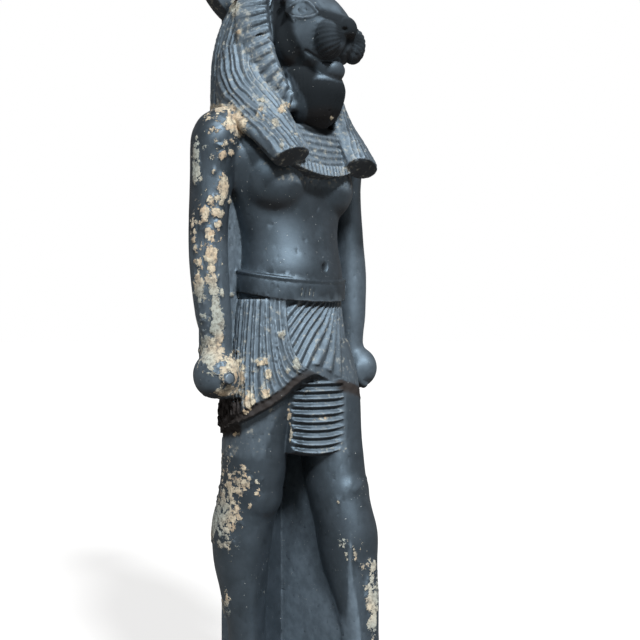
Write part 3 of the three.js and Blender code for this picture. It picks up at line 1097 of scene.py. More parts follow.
@dataclass
class Head(Part):
    """The lion's face."""

    whisker_fan: float = 7.0
    whisker_depth: float = 0.32

    FACE = (
        (-4, 0, 305, 15, 24),
        (6, 0, 304, 16, 23),
        (14, 0, 303.5, 17.2, 21.6),
        (20, 0, 303, 15.8, 19.6),
        (26, 0, 302, 13.2, 17.0),
        (31, 0, 301, 11.2, 12.6),
        (34.5, 0, 300, 9.4, 9.0),
        (37, 0, 300.5, 6.4, 7.0),
        (39, 0, 301, 3.4, 4.0),
    )
    BROW = ((-10, 16, 315.5), (7.5, 5, 3.2), (12, 0, 18))
    CHEEK = ((-11, 15, 299.5), (7.2, 8.6, 11.5))
    JAW = ((0, 19, 288.5), (9.5, 10.5, 7.5))
    BRIDGE = ((0, 26, 309.5), (6.6, 9, 7), (-28, 0, 0))
    PAD = ((-8.0, 33.6, 297.0), (4.9, 5.8, 7.9))
    EYE = ((-11.6, 18.4, 310.4), (5.0, 3.2, 3.5), (0, 0, 24))
    NOSE = ((0, 37.3, 302.2), (4.5, 4.4, 5.2), (25, 0, 0))
    CHIN = ((0, 27.2, 286.2), (7.0, 6.4, 5.6))

    def soft(self) -> list[bpy.types.Mesh]:
        """Returns the skull, cheeks, brows and jaw."""
        face = skin(60, 72, raised(self.FACE, 2.2, lying=True), "face")
        return [face, ball(*self.JAW), ball(*self.BRIDGE), *both([ball(*self.BROW), ball(*self.CHEEK)])]

    def crisp(self) -> list[bpy.types.Mesh]:
        """Returns the nose, whisker pads, chin and eyes."""
        return [ball(*self.NOSE), ball(*self.CHIN), *both([ball(*self.PAD), ball(*self.EYE)])]

    def carve(self, stone: Stone) -> None:
        """Cuts the lids, nostrils, mouth and whisker lines."""
        upper_lid = ((287, 12), (291, 6), (297, 2), (303, 0.5), (309, 2.5), (314, 7), (318.5, 13.5))
        lower_lid = ((287, 12.5), (294, 16.5), (303, 18), (311, 16.5), (318.5, 14))
        fold = ((283, 6), (288, -1), (296, -5), (304, -6), (312, -3), (318, 5))
        rim = ((283, -6), (285.5, 6), (289, 15), (294, 20.5))
        hollow = ((276, 6), (281, 22), (286, 38), (296, 56))
        mouth = ((338.5, 58), (331, 61), (321, 60.5), (312, 55), (306, 51))
        for side in (Side.RIGHT, Side.LEFT):
            right, down, facing = stone.picture(side)
            seen = (facing > 0.15) & (stone.points[:, 1] > 8.0)
            for line, width, rise in (
                (upper_lid, 1.5, 0.8),
                (lower_lid, 1.4, 0.7),
                (fold, 1.6, -0.5),
                (rim, 1.7, 0.7),
                (hollow, 8.0, -1.3),
                (mouth, 1.7, -0.8),
            ):
                reach = stroke_distance(right, down, line)
                stone.rise += rise * np.exp(-((reach / width) ** 2)) * seen
            iris = np.hypot(right - 303.5, down - 9.5)
            stone.rise -= 0.25 * np.exp(-(((iris - 4.3) / 1.1) ** 2)) * seen
        self.cut_muzzle(stone)

    def cut_muzzle(self, stone: Stone) -> None:
        """Cuts the whisker lines, the cleft under the nose and the nostrils."""
        x, forward, height = stone.points.T
        for side in (-1.0, 1.0):
            pad = stone.near((side * 8.4, 34.0, 297.0), (6.8, 8.0, 9.6))
            reach = np.hypot(side * x - 1.0, 38.0 - forward) + 4.0
            lines = reeds(np.arctan2(height - 300.0, reach) * self.whisker_fan, 1.2)
            rim = smooth_step(2.5, 4.5, side * x)
            stone.rise -= self.whisker_depth * lines * smooth_step(0.0, 0.15, pad) * rim
            nostril = stone.near((side * 3.6, 39.6, 300.6), (1.5, 2.2, 1.2))
            stone.rise -= 0.9 * smooth_step(0.0, 0.8, nostril)
        cleft = np.exp(-((x / 1.1) ** 2)) * smooth_step(288, 291, height) * smooth_step(299, 297, height)
        stone.rise -= 1.3 * cleft * (forward > 29)


@dataclass
class Mane(Part):
    """The mane: a tufted band beside each cheek, and the beard below the chin."""

    tufts: int = 13
    ground: float = 2.4
    tuft_thick: float = 1.7
    rim: float = 1.5
    beard_strands: int = 58

    PATH = ((-21.5, 2, 321), (-24.5, 4, 308), (-24, 6, 295), (-19.5, 9.5, 282), (-12.5, 15, 270))
    ACROSS = (0.62, 0.78, 0.0)
    BEARD = (
        (262, 0, 15, 5, 5.5),
        (265.5, 0, 15.2, 10, 11),
        (271, 0, 15.2, 12.8, 15),
        (278, 0, 15.4, 13.8, 16.8),
        (283, 0, 14.0, 13.8, 16.6),
        (290, 0, 8, 13.0, 14.5),
    )

    @staticmethod
    def half_wide(share: Array) -> Array:
        """Returns half the band's width along its length."""
        return 7.6 * np.sqrt(np.sin(mix(0.25, 0.86, share) * np.pi))

    def crisp(self) -> list[bpy.types.Mesh]:
        """Returns the bands with their tufts, and the beard."""
        band = Sweep(self.PATH, steady(self.ACROSS), self.half_wide, lambda t: self.ground + 0.0 * t)
        across = np.array(self.ACROSS)
        shares = np.linspace(0.0, 1.0, 9)
        rim_points = band.place(shares) + across * (self.half_wide(shares) - 0.8)[:, None]
        rim = Sweep(rim_points, steady(self.ACROSS), self.even_rim, self.even_rim)
        forms = [skin(40, 24, band, "band"), skin(60, 16, rim, "rim")]
        for tuft in range(self.tufts):
            forms.append(self.tuft(band, (tuft + 0.2) / self.tufts))
        return [*both(forms), self.beard()]

    def even_rim(self, share: Array) -> Array:
        """Returns the rim's half thickness, thinner at its ends."""
        return self.rim * np.sin(mix(0.15, 0.9, share) * np.pi) ** 0.4

    def tuft(self, band: Sweep, share: float) -> bpy.types.Mesh:
        """A tuft of hair that lies across the band and overlaps the next one.

        Args:
            band: The band it lies on.
            share: Where it starts along the band.

        Returns:
            The tuft.
        """
        across = np.array(self.ACROSS)
        out = np.array((-self.ACROSS[1], self.ACROSS[0], 0.0))
        reaches = np.array((0.95, 0.4, -0.3, -0.95))
        drop = mix(0.02, 0.13, share)
        shares = np.clip(share + drop * (0.95 - reaches), 0.0, 1.0)
        lift = np.array((0.9, 1.6, 1.6, 0.5))
        places = band.place(shares) + across * (reaches * self.half_wide(shares))[:, None]
        places = places + out * lift[:, None]
        pitch = 60.0 / self.tufts

        def wide(t: Array) -> Array:
            """Returns half the tuft's width along its length."""
            return pitch * 0.5 * np.sin(mix(0.2, 0.93, t) * np.pi) ** 0.5

        def thick(t: Array) -> Array:
            """Returns half its thickness."""
            return self.tuft_thick * np.sin(mix(0.3, 0.95, t) * np.pi) ** 0.6

        def cut(t: Array, angle: Array) -> Array:
            """Returns the depth of the lines along it."""
            return 0.45 * reeds(np.cos(angle) * 1.6 + 0.3 * np.sin(6.0 * t), 0.9)

        return skin(40, 36, Sweep(places, steady((0.1, 0.0, 1.0)), wide, thick, cut), "tuft")

    def beard(self) -> bpy.types.Mesh:
        """Returns the beard with its upright strands."""

        def cut(level: Array, angle: Array) -> Array:
            """Returns the depth of the beard's wavering lines."""
            wave = 0.3 * np.sin(level * 0.5 + angle * 5.0)
            return 0.4 * reeds(angle / (2 * np.pi) * self.beard_strands + wave, 1.0)

        return skin(80, self.beard_strands * 7, raised(self.BEARD, 2.0, cut), "beard")


@dataclass
class Crown(Part):
    """The round ears and the sun disc."""

    disc_radius: float = 35.0
    disc_thickness: float = 8.0
    disc_height: float = 348.0
    disc_forward: float = -24.0

    def crisp(self) -> list[bpy.types.Mesh]:
        """Returns the ears and the disc."""
        bm = bmesh.new()
        bmesh.ops.create_cone(
            bm,
            cap_ends=True,
            segments=128,
            radius1=self.disc_radius,
            radius2=self.disc_radius,
            depth=self.disc_thickness,
        )
        rims = [edge for edge in bm.edges if len(edge.link_faces) == 2 and edge.calc_face_angle() > 1.0]
        bmesh.ops.bevel(
            bm, geom=rims, offset=1.2, segments=3, profile=0.5, affect="EDGES", material=-1
        )
        turn = Matrix.Rotation(math.radians(90), 4, "X")
        place = Matrix.Translation((0, self.disc_forward, self.disc_height))
        bmesh.ops.transform(bm, matrix=place @ turn, verts=bm.verts)
        ear = ball((-23, -6, 327), (7.6, 4, 8.6), (0, 0, -28))
        return [mesh_of(bm, "disc"), *both([ear])]

    def carve(self, stone: Stone) -> None:
        """Hollows the ears."""
        for side in (-1.0, 1.0):
            hollow = stone.near((side * 24.0, -2.6, 327.6), (5.4, 4.2, 6.4))
            stone.rise -= 2.2 * smooth_step(0.0, 0.7, hollow) * (stone.normals[:, 1] > 0.1)


@dataclass(frozen=True)
class Patch:
    """A patch of crust as the picture shows it: its middle, half sizes and strength."""

    right: float
    down: float
    half_wide: float
    half_high: float
    strength: float = 1.0


SHOULDER_AND_ARM = (
    Patch(209, 235, 15, 75, 0.45),
    Patch(210, 300, 14, 60, 0.5),
    Patch(222, 135, 24, 34, 0.42),
    Patch(212, 352, 16, 22, 0.9),
    Patch(232, 374, 15, 24, 0.85),
    Patch(235, 124, 12, 17),
    Patch(222, 108, 15, 5, 0.9),
    Patch(206, 118, 8, 7, 0.5),
    Patch(222, 156, 4, 5),
    Patch(231, 153, 3.2, 4),
    Patch(214, 172, 2.2, 3),
    Patch(223, 187, 6, 14),
    Patch(210, 201, 5, 4),
    Patch(221, 203, 3, 3),
    Patch(229, 201, 2, 3),
    Patch(218, 213, 6.5, 5),
    Patch(205, 215, 5, 10),
    Patch(217, 224, 5, 4),
    Patch(209, 235, 5.5, 10),
    Patch(211, 258, 7, 18),
    Patch(196, 165, 4.5, 30, 0.75),
    Patch(194, 230, 4, 26, 0.55),
    Patch(195, 247, 3, 4),
    Patch(198, 262, 5, 5),
    Patch(199, 287, 6, 17),
    Patch(213, 287, 5.5, 15),
    Patch(222, 293, 2.2, 6),
    Patch(232, 294, 2.6, 3),
    Patch(216, 307, 6, 22),
    Patch(218, 327, 7.5, 22),
    Patch(208, 345, 8, 12),
    Patch(214, 354, 14, 11),
    Patch(233, 366, 10, 10),
    Patch(241, 378, 5, 9),
    Patch(231, 380, 8, 15),
    Patch(226, 391, 12, 6),
)
KILT_AND_TAB = (
    Patch(262, 362, 9, 5),
    Patch(268, 374, 4, 9),
    Patch(252, 368, 4, 5, 0.6),
    Patch(248, 400, 7.5, 11),
    Patch(265, 392, 6.5, 7),
    Patch(281, 334, 4.5, 3.5),
    Patch(297, 363, 4, 12, 0.7),
    Patch(289, 372, 4, 6, 0.5),
    Patch(289, 411, 3, 16, 0.8),
    Patch(291, 437, 2.6, 9, 0.8),
    Patch(312, 393, 12, 6, 0.35),
    Patch(318, 417, 16, 3.5, 0.45),
    Patch(246, 412, 4, 4, 0.8),
)
LEGS = (
    Patch(228, 515, 16, 42, 0.8),
    Patch(240, 480, 22, 16, 0.7),
    Patch(226, 462, 8, 18, 0.6),
    Patch(372, 600, 7, 46, 0.9),
    Patch(352, 552, 22, 26, 0.36),
    Patch(236, 434, 3.5, 3.5, 0.8),
    Patch(231, 453, 5, 12, 0.6),
    Patch(236, 484, 14, 15, 0.85),
    Patch(224, 512, 14, 24, 0.9),
    Patch(226, 532, 11, 18, 0.8),
    Patch(214, 520, 4, 26, 1.0),
    Patch(250, 506, 3.2, 3.8),
    Patch(258, 491, 5, 6, 0.6),
    Patch(248, 556, 3, 8, 0.35),
    Patch(226, 602, 4.5, 16, 0.8),
    Patch(371, 603, 6, 30, 0.85),
    Patch(361, 567, 4, 10, 0.7),
    Patch(374, 563, 2.4, 4),
    Patch(333, 549, 9, 13, 0.35),
    Patch(338, 503, 2.4, 4, 0.6),
    Patch(262, 590, 7, 10, 0.3),
)
WIG_AND_MANE = (
    Patch(235, 8, 6, 11, 0.9),
    Patch(239, 32, 3.2, 3.2),
    Patch(287, 105, 6, 5, 0.8),
    Patch(281, 110, 4, 3),
    Patch(262, 106, 9, 16, 0.5),
    Patch(276, 122, 5, 6, 0.7),
    Patch(283, 144, 5, 4, 0.8),
    Patch(296, 133, 3, 3, 0.8),
    Patch(330, 118, 5, 3, 0.6),
    Patch(348, 168, 4, 3, 0.7),
)


@dataclass
class Weather:
    """What the ground left on the stone, pale crust and dust in the grooves, with painted shade that browns
    the undersides and blackens grooves and hollows, and painted highlight on the crests.
    """

    crust_rise: float = 0.45
    unevenness: float = 0.10
    pitting: float = 0.16
    groove_low: float = 0.012
    groove_high: float = 0.11
    staff_end: tuple[float, float] = (229.5, 378.5)
    beard_front: float = 25.0
    beard_tops: tuple[float, float] = (281.0, 288.0)
    panel_heights: tuple[float, float] = (150.0, 262.0)
    cloth_heights: tuple[float, float] = (119.0, 187.0)
    spread: tuple[tuple[tuple[Patch, ...], float], ...] = (
        (SHOULDER_AND_ARM, 0.92),
        (KILT_AND_TAB, 0.78),
        (LEGS, 0.80),
        (WIG_AND_MANE, 0.78),
    )

    def mark(self, stone: Stone) -> None:
        """Fills the masks that the finish reads, and raises the crust.

        Args:
            stone: The carved skin.
        """
        points = stone.points
        right, down, facing = stone.picture()
        crust = np.zeros(len(points))
        for patches, share in self.spread:
            for patch in patches:
                across = (right - patch.right) / patch.half_wide
                reach = np.hypot(across, (down - patch.down) / patch.half_high)
                crust = np.maximum(crust, share * patch.strength * smooth_step(1.6, 0.3, reach))
        crust *= smooth_step(-0.25, 0.05, facing)
        staff = np.hypot(right - self.staff_end[0], down - self.staff_end[1])
        crust *= smooth_step(4.6, 6.2, staff)
        crust = np.maximum(crust, self.hidden_crust(stone, facing))
        lumps = Grain(SEED + 3)(points, 2.2, 3)
        crust = np.clip(crust + 0.22 * lumps * (crust > 0.02), 0.0, 1.0)
        cover = smooth_step(0.38, 0.62, crust)
        stone.masks["crust"] = crust
        stone.rise += self.crust_rise * cover * (0.75 + 0.35 * lumps)
        wide = Grain(SEED + 4)(points, 16.0, 2)
        fine = Grain(SEED + 5)(points, 2.2, 2)
        pits = smooth_step(0.62, 0.9, Grain(SEED + 6)(points, 1.5, 1))
        stone.rise += self.unevenness * wide + 0.02 * fine - self.pitting * pits
        stone.rise *= smooth_step(-SOLE_HEIGHT + 0.5, -SOLE_HEIGHT + 3.0, points[:, 2])
        self.mark_brown_and_shade(stone)
        self.mark_matt(stone)

    def mark_matt(self, stone: Stone) -> None:
        """Marks where the stone was left matt, where dust lies and where it is darkened to black, partly as
        painted shade.

        Args:
            stone: The carved skin.
        """
        ruff = self.ruff(stone)
        matt = np.zeros(len(stone.points))
        dust = stone.masks.get("dust", matt)
        for where, share, dusty in self.regions(stone, ruff):
            matt = np.maximum(matt, share * where)
            dust = np.maximum(dust, dusty * where)
        # The black mask is partly dark stone and partly painted shade.
        black_and_shade = self.darkest_and_shaded(stone)
        stone.masks["matt"] = matt * (1.0 - black_and_shade)
        stone.masks["dust"] = dust * (1.0 - black_and_shade)
        stone.masks["black_and_shade"] = black_and_shade * (1.0 - ruff)

    def regions(self, stone: Stone, ruff: Array) -> tuple[tuple[Array, float, float], ...]:
        """Finds the regions that differ in how matt and how dusty they are.

        Args:
            stone: The carved skin.
            ruff: The tufted bands beside the cheeks.

        Returns:
            Each region with its matt share and its dust share.
        """
        x, forward, height = stone.points.T
        side = np.abs(x)
        panel_low, panel_high = self.panel_heights
        beside = smooth_step(24.0, 26.0, side) * smooth_step(1.5, -1.0, forward) * (stone.normals[:, 1] > 0.4)
        beside *= smooth_step(panel_low, panel_low + 6.0, height)
        beside *= smooth_step(panel_high, panel_high - 6.0, height)
        panel_face = (np.abs(x - 9.5) < 1.2) * (stone.normals[:, 0] < -0.7) * (height < 130.0)
        on_left = np.abs(stone.points) * (1, 0, 1) + stone.points * (0, 1, 0)
        lock = np.min([np.linalg.norm(on_left - place, axis=1) for place in self.lock_places()], axis=0)
        hair = np.maximum(smooth_step(14.0, 11.5, lock), smooth_step(268.0, 272.0, height) * (forward < 12.0))
        hair = np.maximum(hair, smooth_step(6.0, 0.0, forward) * (side < 33.0) * (height > 262.0))
        face = smooth_step(0.0, 0.12, stone.near((0.0, 24.0, 303.0), (19.5, 19.0, 24.0)))
        hem, belt = self.cloth_heights
        cloth = (height > hem) * (height < belt) * (side < 37.0) * (np.hypot(x / 31.0, forward / 23.0) > 0.86)
        arms = (side > 35.0) * smooth_step(216.0, 208.0, height)
        low = (height < 1.0) | (forward < -20.0) | (height > 318.0)
        collar = (side < 19.0) * (forward > 14.0) * (height > 237.0) * (height < 263.0)
        return (
            (hair, 0.27, 0.42),
            (face, 0.22, 0.12),
            (ruff, 0.6, 0.5),
            (cloth, 0.42, 0.40),
            (arms, 0.4, 0.1),
            (low, 0.5, 0.3),
            (collar, 0.75, 0.46),
            (beside, 0.85, 0.1),
            (panel_face, 0.8, 0.12),
        )

    def darkest_and_shaded(self, stone: Stone) -> Array:
        """Returns how far the colour is darkened to black: the nose and whisker pads, the beard, partly as
        painted shade under the muzzle, and painted shade in the navel, beside each cheek, under the kilt's
        hem and on the left thigh just below the kilt.
        """
        x, forward, height = stone.points.T
        # The beard is blackened, partly as painted shade under the muzzle.
        beard = smooth_step(0.0, 0.1, stone.near((0.0, 16.0, 276.0), (17.0, 19.0, 18.5)))
        beard *= smooth_step(12.0, 14.5, forward) + smooth_step(15.5, 14.0, np.abs(x))
        beard_top = np.where(forward > self.beard_front, *self.beard_tops)
        black_and_shade = np.clip(beard, 0.0, 1.0) * smooth_step(0.8, -0.8, height - beard_top)
        # Painted shade: the rim under the kilt's hem and the undersides there are darkened further.
        hem = stone.masks["brown_and_shade"] * (height > 118.0) * (height < 160.0)
        # Painted shade: the left thigh just below the kilt is darkened.
        shade_below_kilt = (x > 12.5) * smooth_step(104.0, 116.0, height) * smooth_step(147.0, 144.0, height)
        for mark in (self.dark_face_and_shade(stone), stone.masks["black_and_shade"], 0.8 * hem, 0.5 * shade_below_kilt):
            black_and_shade = np.maximum(black_and_shade, mark)
        return black_and_shade

    @staticmethod
    def ruff(stone: Stone) -> Array:
        """Marks the tufted band beside each cheek."""
        right_side = np.abs(stone.points) * (-1, 0, 1) + stone.points * (0, 1, 0)
        path = np.array(Mane.PATH)
        shares = np.linspace(0, len(path) - 1, 25)
        places = np.stack([np.interp(shares, range(len(path)), column) for column in path.T], axis=1)
        reach = np.min([np.linalg.norm(right_side - place, axis=1) for place in places], axis=0)
        return smooth_step(9.2, 8.0, reach) * (stone.normals[:, 1] > -0.2)

    @staticmethod
    def dark_face_and_shade(stone: Stone) -> Array:
        """Marks the dark nose, whisker pads and jaw, and paints shade in the strip between each cheek and its
        ruff.
        """
        dark = np.zeros(len(stone.points))
        shade_strip = ((272, -6), (279, 14), (284, 34), (293, 56), (306, 72))
        for side in (Side.RIGHT, Side.LEFT):
            right, down, facing = stone.picture(side)
            seen = (facing > -0.1) * (stone.points[:, 1] > 6.0) * (stone.points[:, 2] > 280.0)
            for middle, half, share in (((347, 30), (12, 13), 0.95), ((328, 40), (13, 19), 0.75)):
                reach = np.hypot((right - middle[0]) / half[0], (down - middle[1]) / half[1])
                dark = np.maximum(dark, share * smooth_step(1.25, 0.80, reach) * seen)
            # Painted shade in the hollow between the cheek and the ruff.
            reach = stroke_distance(right, down, shade_strip)
            dark = np.maximum(dark, smooth_step(14.0, 8.0, reach) * seen)
        return dark

    @staticmethod
    def lock_places() -> Array:
        """Returns places along the left front lock of the wig."""
        points = np.array(Wig.LOCK) * (-1.0, 1.0, 1.0)
        shares = np.linspace(0, len(points) - 1, 17)
        return np.stack([np.interp(shares, range(len(points)), column) for column in points.T], axis=1)

    def hidden_crust(self, stone: Stone, facing: Array) -> Array:
        """Returns sparser crust for the sides that the picture doesn't show."""
        broad = Grain(SEED + 7)(stone.points, 38.0, 2)
        low = smooth_step(70.0, -15.0, stone.points[:, 2])
        hidden = smooth_step(-0.3, -0.55, facing)
        return hidden * smooth_step(0.25, 0.75, broad + 0.2 * low) * 0.8

    def mark_brown_and_shade(self, stone: Stone) -> None:
        """Marks the brown rims under the kilt's hem, rough stone partly darkened as painted shade, and paints
        warm brown shade on every underside.

        Args:
            stone: The carved skin.
        """
        x, forward, height = stone.points.T
        degrees = np.degrees(np.arctan2(x / 34.0, forward / 25.0))
        over_hem = height - Kilt.HEM(degrees)
        around = np.hypot(x / 40.0, (forward - 1.5) / 30.0)
        # The rim under the hem is rough stone, browned partly as painted shade beneath the hem's edge.
        rim = smooth_step(-3.5, -1.0, over_hem) * smooth_step(3.6, 2.4, over_hem)
        rim *= smooth_step(0.74, 0.8, around) * smooth_step(1.05, 0.98, around) * (np.abs(x) < 36.5)
        # Painted shade: every downward-facing surface is browned as if lit only by warm bounce light.
        under = smooth_step(-0.35, -0.75, stone.normals[:, 2]) * 0.7
        stone.rise += 0.35 * rim * Grain(SEED + 8)(stone.points, 1.6, 2)
        stone.masks["brown_and_shade"] = np.maximum(stone.masks.get("brown_and_shade", 0.0), np.maximum(rim, under))

    def bends(self, stone: Stone) -> None:
        """Marks where shade is painted into the grooves and highlight onto the crests, from how the skin
        bends.

        Args:
            stone: The weathered skin.
        """

        def even(carrier: bpy.types.Object) -> None:
            """Adds the evening that the bends are measured from."""
            modifier = carrier.modifiers.new("even", "SMOOTH")
            modifier.factor = 0.5
            modifier.iterations = 6

        smooth = evaluated(stone.mesh.copy(), even)
        bend = ((read_points(smooth) - stone.points) * stone.normals).sum(axis=1)
        bpy.data.meshes.remove(smooth)
        # Painted shade in the grooves and painted highlight on the crests.
        stone.masks["groove"] = smooth_step(self.groove_low, self.groove_high, bend)
        stone.masks["crest_highlight"] = smooth_step(self.groove_low, self.groove_high, -bend)


class Tree:
    """Short calls for wiring a node tree."""

    def __init__(self, tree: bpy.types.NodeTree) -> None:
        """Starts from an empty tree.

        Args:
            tree: The tree to wire.
        """
        self.tree = tree
        tree.nodes.clear()

    def add(self, kind: str, **settings: object) -> bpy.types.Node:
        """Returns a new node with the given settings."""
        node = self.tree.nodes.new(kind)
        for name, value in settings.items():
            setattr(node, name, value)
        return node

    def feed(self, socket: bpy.types.NodeSocket, value: object) -> None:
        """Sets a socket to a number or colour, or links another socket to it."""
        if isinstance(value, bpy.types.NodeSocket):
            self.tree.links.new(value, socket)
        elif isinstance(value, tuple) and len(value) == 3 and len(socket.default_value) == 4:
            socket.default_value = (*value, 1.0)
        else:
            socket.default_value = value

    def math(self, operation: str, *values: object, clamp: bool = False) -> bpy.types.NodeSocket:
        """Returns the result of a sum, with sockets or numbers as its terms."""
        node = self.add("ShaderNodeMath", operation=operation, use_clamp=clamp)
        for socket, value in zip(node.inputs, values):
            self.feed(socket, value)
        return node.outputs[0]

    def noise(self, size: float, detail: float = 2.0, roughness: float = 0.5) -> bpy.types.NodeSocket:
        """Returns noise in the piece's own space, from its size in millimetres."""
        node = self.add("ShaderNodeTexNoise")
        self.feed(node.inputs["Vector"], self.place())
        node.inputs["Scale"].default_value = METRE / size
        node.inputs["Detail"].default_value = detail
        node.inputs["Roughness"].default_value = roughness
        return node.outputs["Fac"]

    def pebbles(self, size: float) -> tuple[bpy.types.NodeSocket, bpy.types.NodeSocket]:
        """Returns the distance from the middle of scattered pebbles, and each one's own tone."""
        node = self.add("ShaderNodeTexVoronoi")
        self.feed(node.inputs["Vector"], self.place())
        node.inputs["Scale"].default_value = METRE / size
        split = self.add("ShaderNodeSeparateColor")
        self.feed(split.inputs["Color"], node.outputs["Color"])
        return node.outputs["Distance"], split.outputs["Red"]

    def place(self) -> bpy.types.NodeSocket:
        """Returns the piece's own coordinates."""
        return self.add("ShaderNodeTexCoord").outputs["Object"]

    def step(self, value: object, low: float, high: float) -> bpy.types.NodeSocket:
        """Returns a smooth rise from 0 to 1 between two values."""
        node = self.add("ShaderNodeMapRange", interpolation_type="SMOOTHSTEP")
        self.feed(node.inputs["Value"], value)
        node.inputs["From Min"].default_value = low
        node.inputs["From Max"].default_value = high
        return node.outputs["Result"]

    def blend(self, share: object, first: object, second: object) -> bpy.types.NodeSocket:
        """Returns a colour between two others."""
        node = self.add("ShaderNodeMix", data_type="RGBA")
        self.feed(node.inputs["Factor"], share)
        self.feed(node.inputs[6], first)
        self.feed(node.inputs[7], second)
        return node.outputs[2]

    def level(self, share: object, first: object, second: object) -> bpy.types.NodeSocket:
        """Returns a number between two others."""
        node = self.add("ShaderNodeMix", data_type="FLOAT")
        self.feed(node.inputs["Factor"], share)
        self.feed(node.inputs[2], first)
        self.feed(node.inputs[3], second)
        return node.outputs[0]

    def mask(self, name: str) -> bpy.types.NodeSocket:
        """Returns one of the piece's own masks."""
        return self.add("ShaderNodeAttribute", attribute_name=name).outputs["Fac"]


Colour = tuple[float, float, float]


@dataclass(frozen=True)
class DarkStone:
    """Dark blue-grey stone, half polished, with pale crust and dusty grooves, with painted shade that browns
    its undersides and blackens its grooves and hollows, and painted highlight on its crests.
    """

    deep: Colour = (0.007, 0.009, 0.011)
    pale: Colour = (0.020, 0.025, 0.031)
    warm: Colour = (0.018, 0.018, 0.018)
    crust_light: Colour = (0.53, 0.46, 0.33)
    crust_pink: Colour = (0.44, 0.32, 0.20)
    crust_grey: Colour = (0.34, 0.35, 0.30)
    crust_dark: Colour = (0.11, 0.09, 0.065)
    dust: Colour = (0.34, 0.32, 0.26)
    # Brown of the broken corner, and painted shade on the undersides and under the kilt's hem.
    brown_and_shade: Colour = (0.024, 0.017, 0.013)
    speck: Colour = (0.42, 0.43, 0.41)
    matt: Colour = (0.105, 0.132, 0.158)
    # Painted highlight on the crests.
    crest_highlight: Colour = (0.20, 0.24, 0.28)
    # Near black, for painted shade in grooves and hollows and for the darkest stone.
    black_and_shade: Colour = (0.006, 0.006, 0.006)
    sheen_tint: Colour = (0.62, 0.82, 1.0)
    roughness: float = 0.50
    density: float = 1.62
    shine: tuple[float, float] = (0.9, 0.28)

    def material(self) -> bpy.types.Material:
        """Builds the finish.

        Returns:
            The material, which reads the piece's masks.
        """
        material = bpy.data.materials.new("dark_stone")
        material.use_nodes = True
        tree = Tree(material.node_tree)
        pebble, tone = tree.pebbles(2.6)
        crust = tree.math("ADD", tree.mask("crust"), self.centred(tree, tree.noise(3.6, 2.0), 0.8))
        crust = tree.math("ADD", crust, self.centred(tree, tree.noise(0.9, 4.0, 0.7), 0.9))
        crust = tree.math("ADD", crust, tree.math("MULTIPLY", tree.math("SUBTRACT", 0.42, pebble), 0.55))
        crust = tree.step(crust, 0.46, 0.56)
        dust = tree.math("ADD", tree.mask("dust"), self.centred(tree, tree.noise(2.6, 4.0, 0.65), 1.5))
        dust = tree.math("ADD", dust, tree.math("MULTIPLY", tree.mask("crust"), 0.35))
        dust = tree.math("MULTIPLY", tree.step(dust, 0.48, 0.80), 0.75)
        specks = self.specks(tree)
        colour = self.colour(tree, (crust, tone), dust, specks)
        rough = tree.level(tree.noise(3.0, 3.0), self.roughness - 0.05, self.roughness + 0.10)
        for cover, level in (
            (tree.mask("matt"), 0.66),
            (tree.mask("black_and_shade"), 0.95),
            (dust, 0.75),
            (tree.mask("brown_and_shade"), 0.8),
            (crust, 0.92),
        ):
            rough = tree.level(cover, rough, level)
        shader = tree.add("ShaderNodeBsdfPrincipled")
        shader.inputs["IOR"].default_value = self.density
        # The sheen is lowered where shade is painted: blackened and browned places and the grooves of matt
        # parts.
        dull_and_shade = tree.math("MAXIMUM", tree.mask("black_and_shade"), tree.mask("brown_and_shade"))
        dull_and_shade = tree.math("MAXIMUM", dull_and_shade, tree.math("MULTIPLY", tree.mask("groove"), tree.mask("matt")))
        tree.feed(shader.inputs["Specular IOR Level"], tree.level(dull_and_shade, *self.shine))
        shader.inputs["Specular Tint"].default_value = (*self.sheen_tint, 1.0)
        tree.feed(shader.inputs["Base Color"], colour)
        tree.feed(shader.inputs["Roughness"], rough)
        tree.feed(shader.inputs["Normal"], self.bump(tree, crust, specks))
        output = tree.add("ShaderNodeOutputMaterial")
        tree.feed(output.inputs["Surface"], shader.outputs["BSDF"])
        return material

    @staticmethod
    def centred(tree: Tree, noise: bpy.types.NodeSocket, strength: float) -> bpy.types.NodeSocket:
        """Returns noise about zero, at the given strength."""
        return tree.math("MULTIPLY", tree.math("SUBTRACT", noise, 0.5), strength)

    @staticmethod
    def specks(tree: Tree) -> bpy.types.NodeSocket:
        """Returns a mask of small pale specks that gather in places."""
        near = DarkStone.centred(tree, tree.noise(22.0, 2.0), 0.25)
        return tree.step(tree.math("ADD", tree.noise(0.9, 2.0, 0.55), near), 0.73, 0.78)

    def colour(
        self,
        tree: Tree,
        crust: tuple[bpy.types.NodeSocket, bpy.types.NodeSocket],
        dust: bpy.types.NodeSocket,
        specks: bpy.types.NodeSocket,
    ) -> bpy.types.NodeSocket:
        """Returns the colour of the stone with all that lies on it, and with its painted shade and highlight.

        Args:
            tree: The tree to wire.
            crust: Where crust covers the stone, and each pebble's own tone.
            dust: Where dust fills the grooves.
            specks: Where pale specks lie.

        Returns:
            The colour's socket.
        """
        cloud = tree.step(tree.noise(9.0, 4.0, 0.6), 0.3, 0.7)
        stone = tree.blend(cloud, self.deep, self.pale)
        grain = tree.step(tree.noise(0.45, 2.0), 0.35, 0.75)
        stone = tree.blend(tree.math("MULTIPLY", grain, 0.35), stone, self.warm)
        patchy = tree.level(tree.step(tree.noise(4.0, 4.0, 0.65), 0.3, 0.7), 0.55, 1.0)
        stone = tree.blend(tree.math("MULTIPLY", tree.mask("matt"), patchy), stone, self.matt)
        # Painted highlight: the crests of matt parts are lightened.
        crest_light = tree.math("MULTIPLY", tree.mask("crest_highlight"), tree.math("MULTIPLY", tree.mask("matt"), 1.2))
        stone = tree.blend(crest_light, stone, self.crest_highlight)
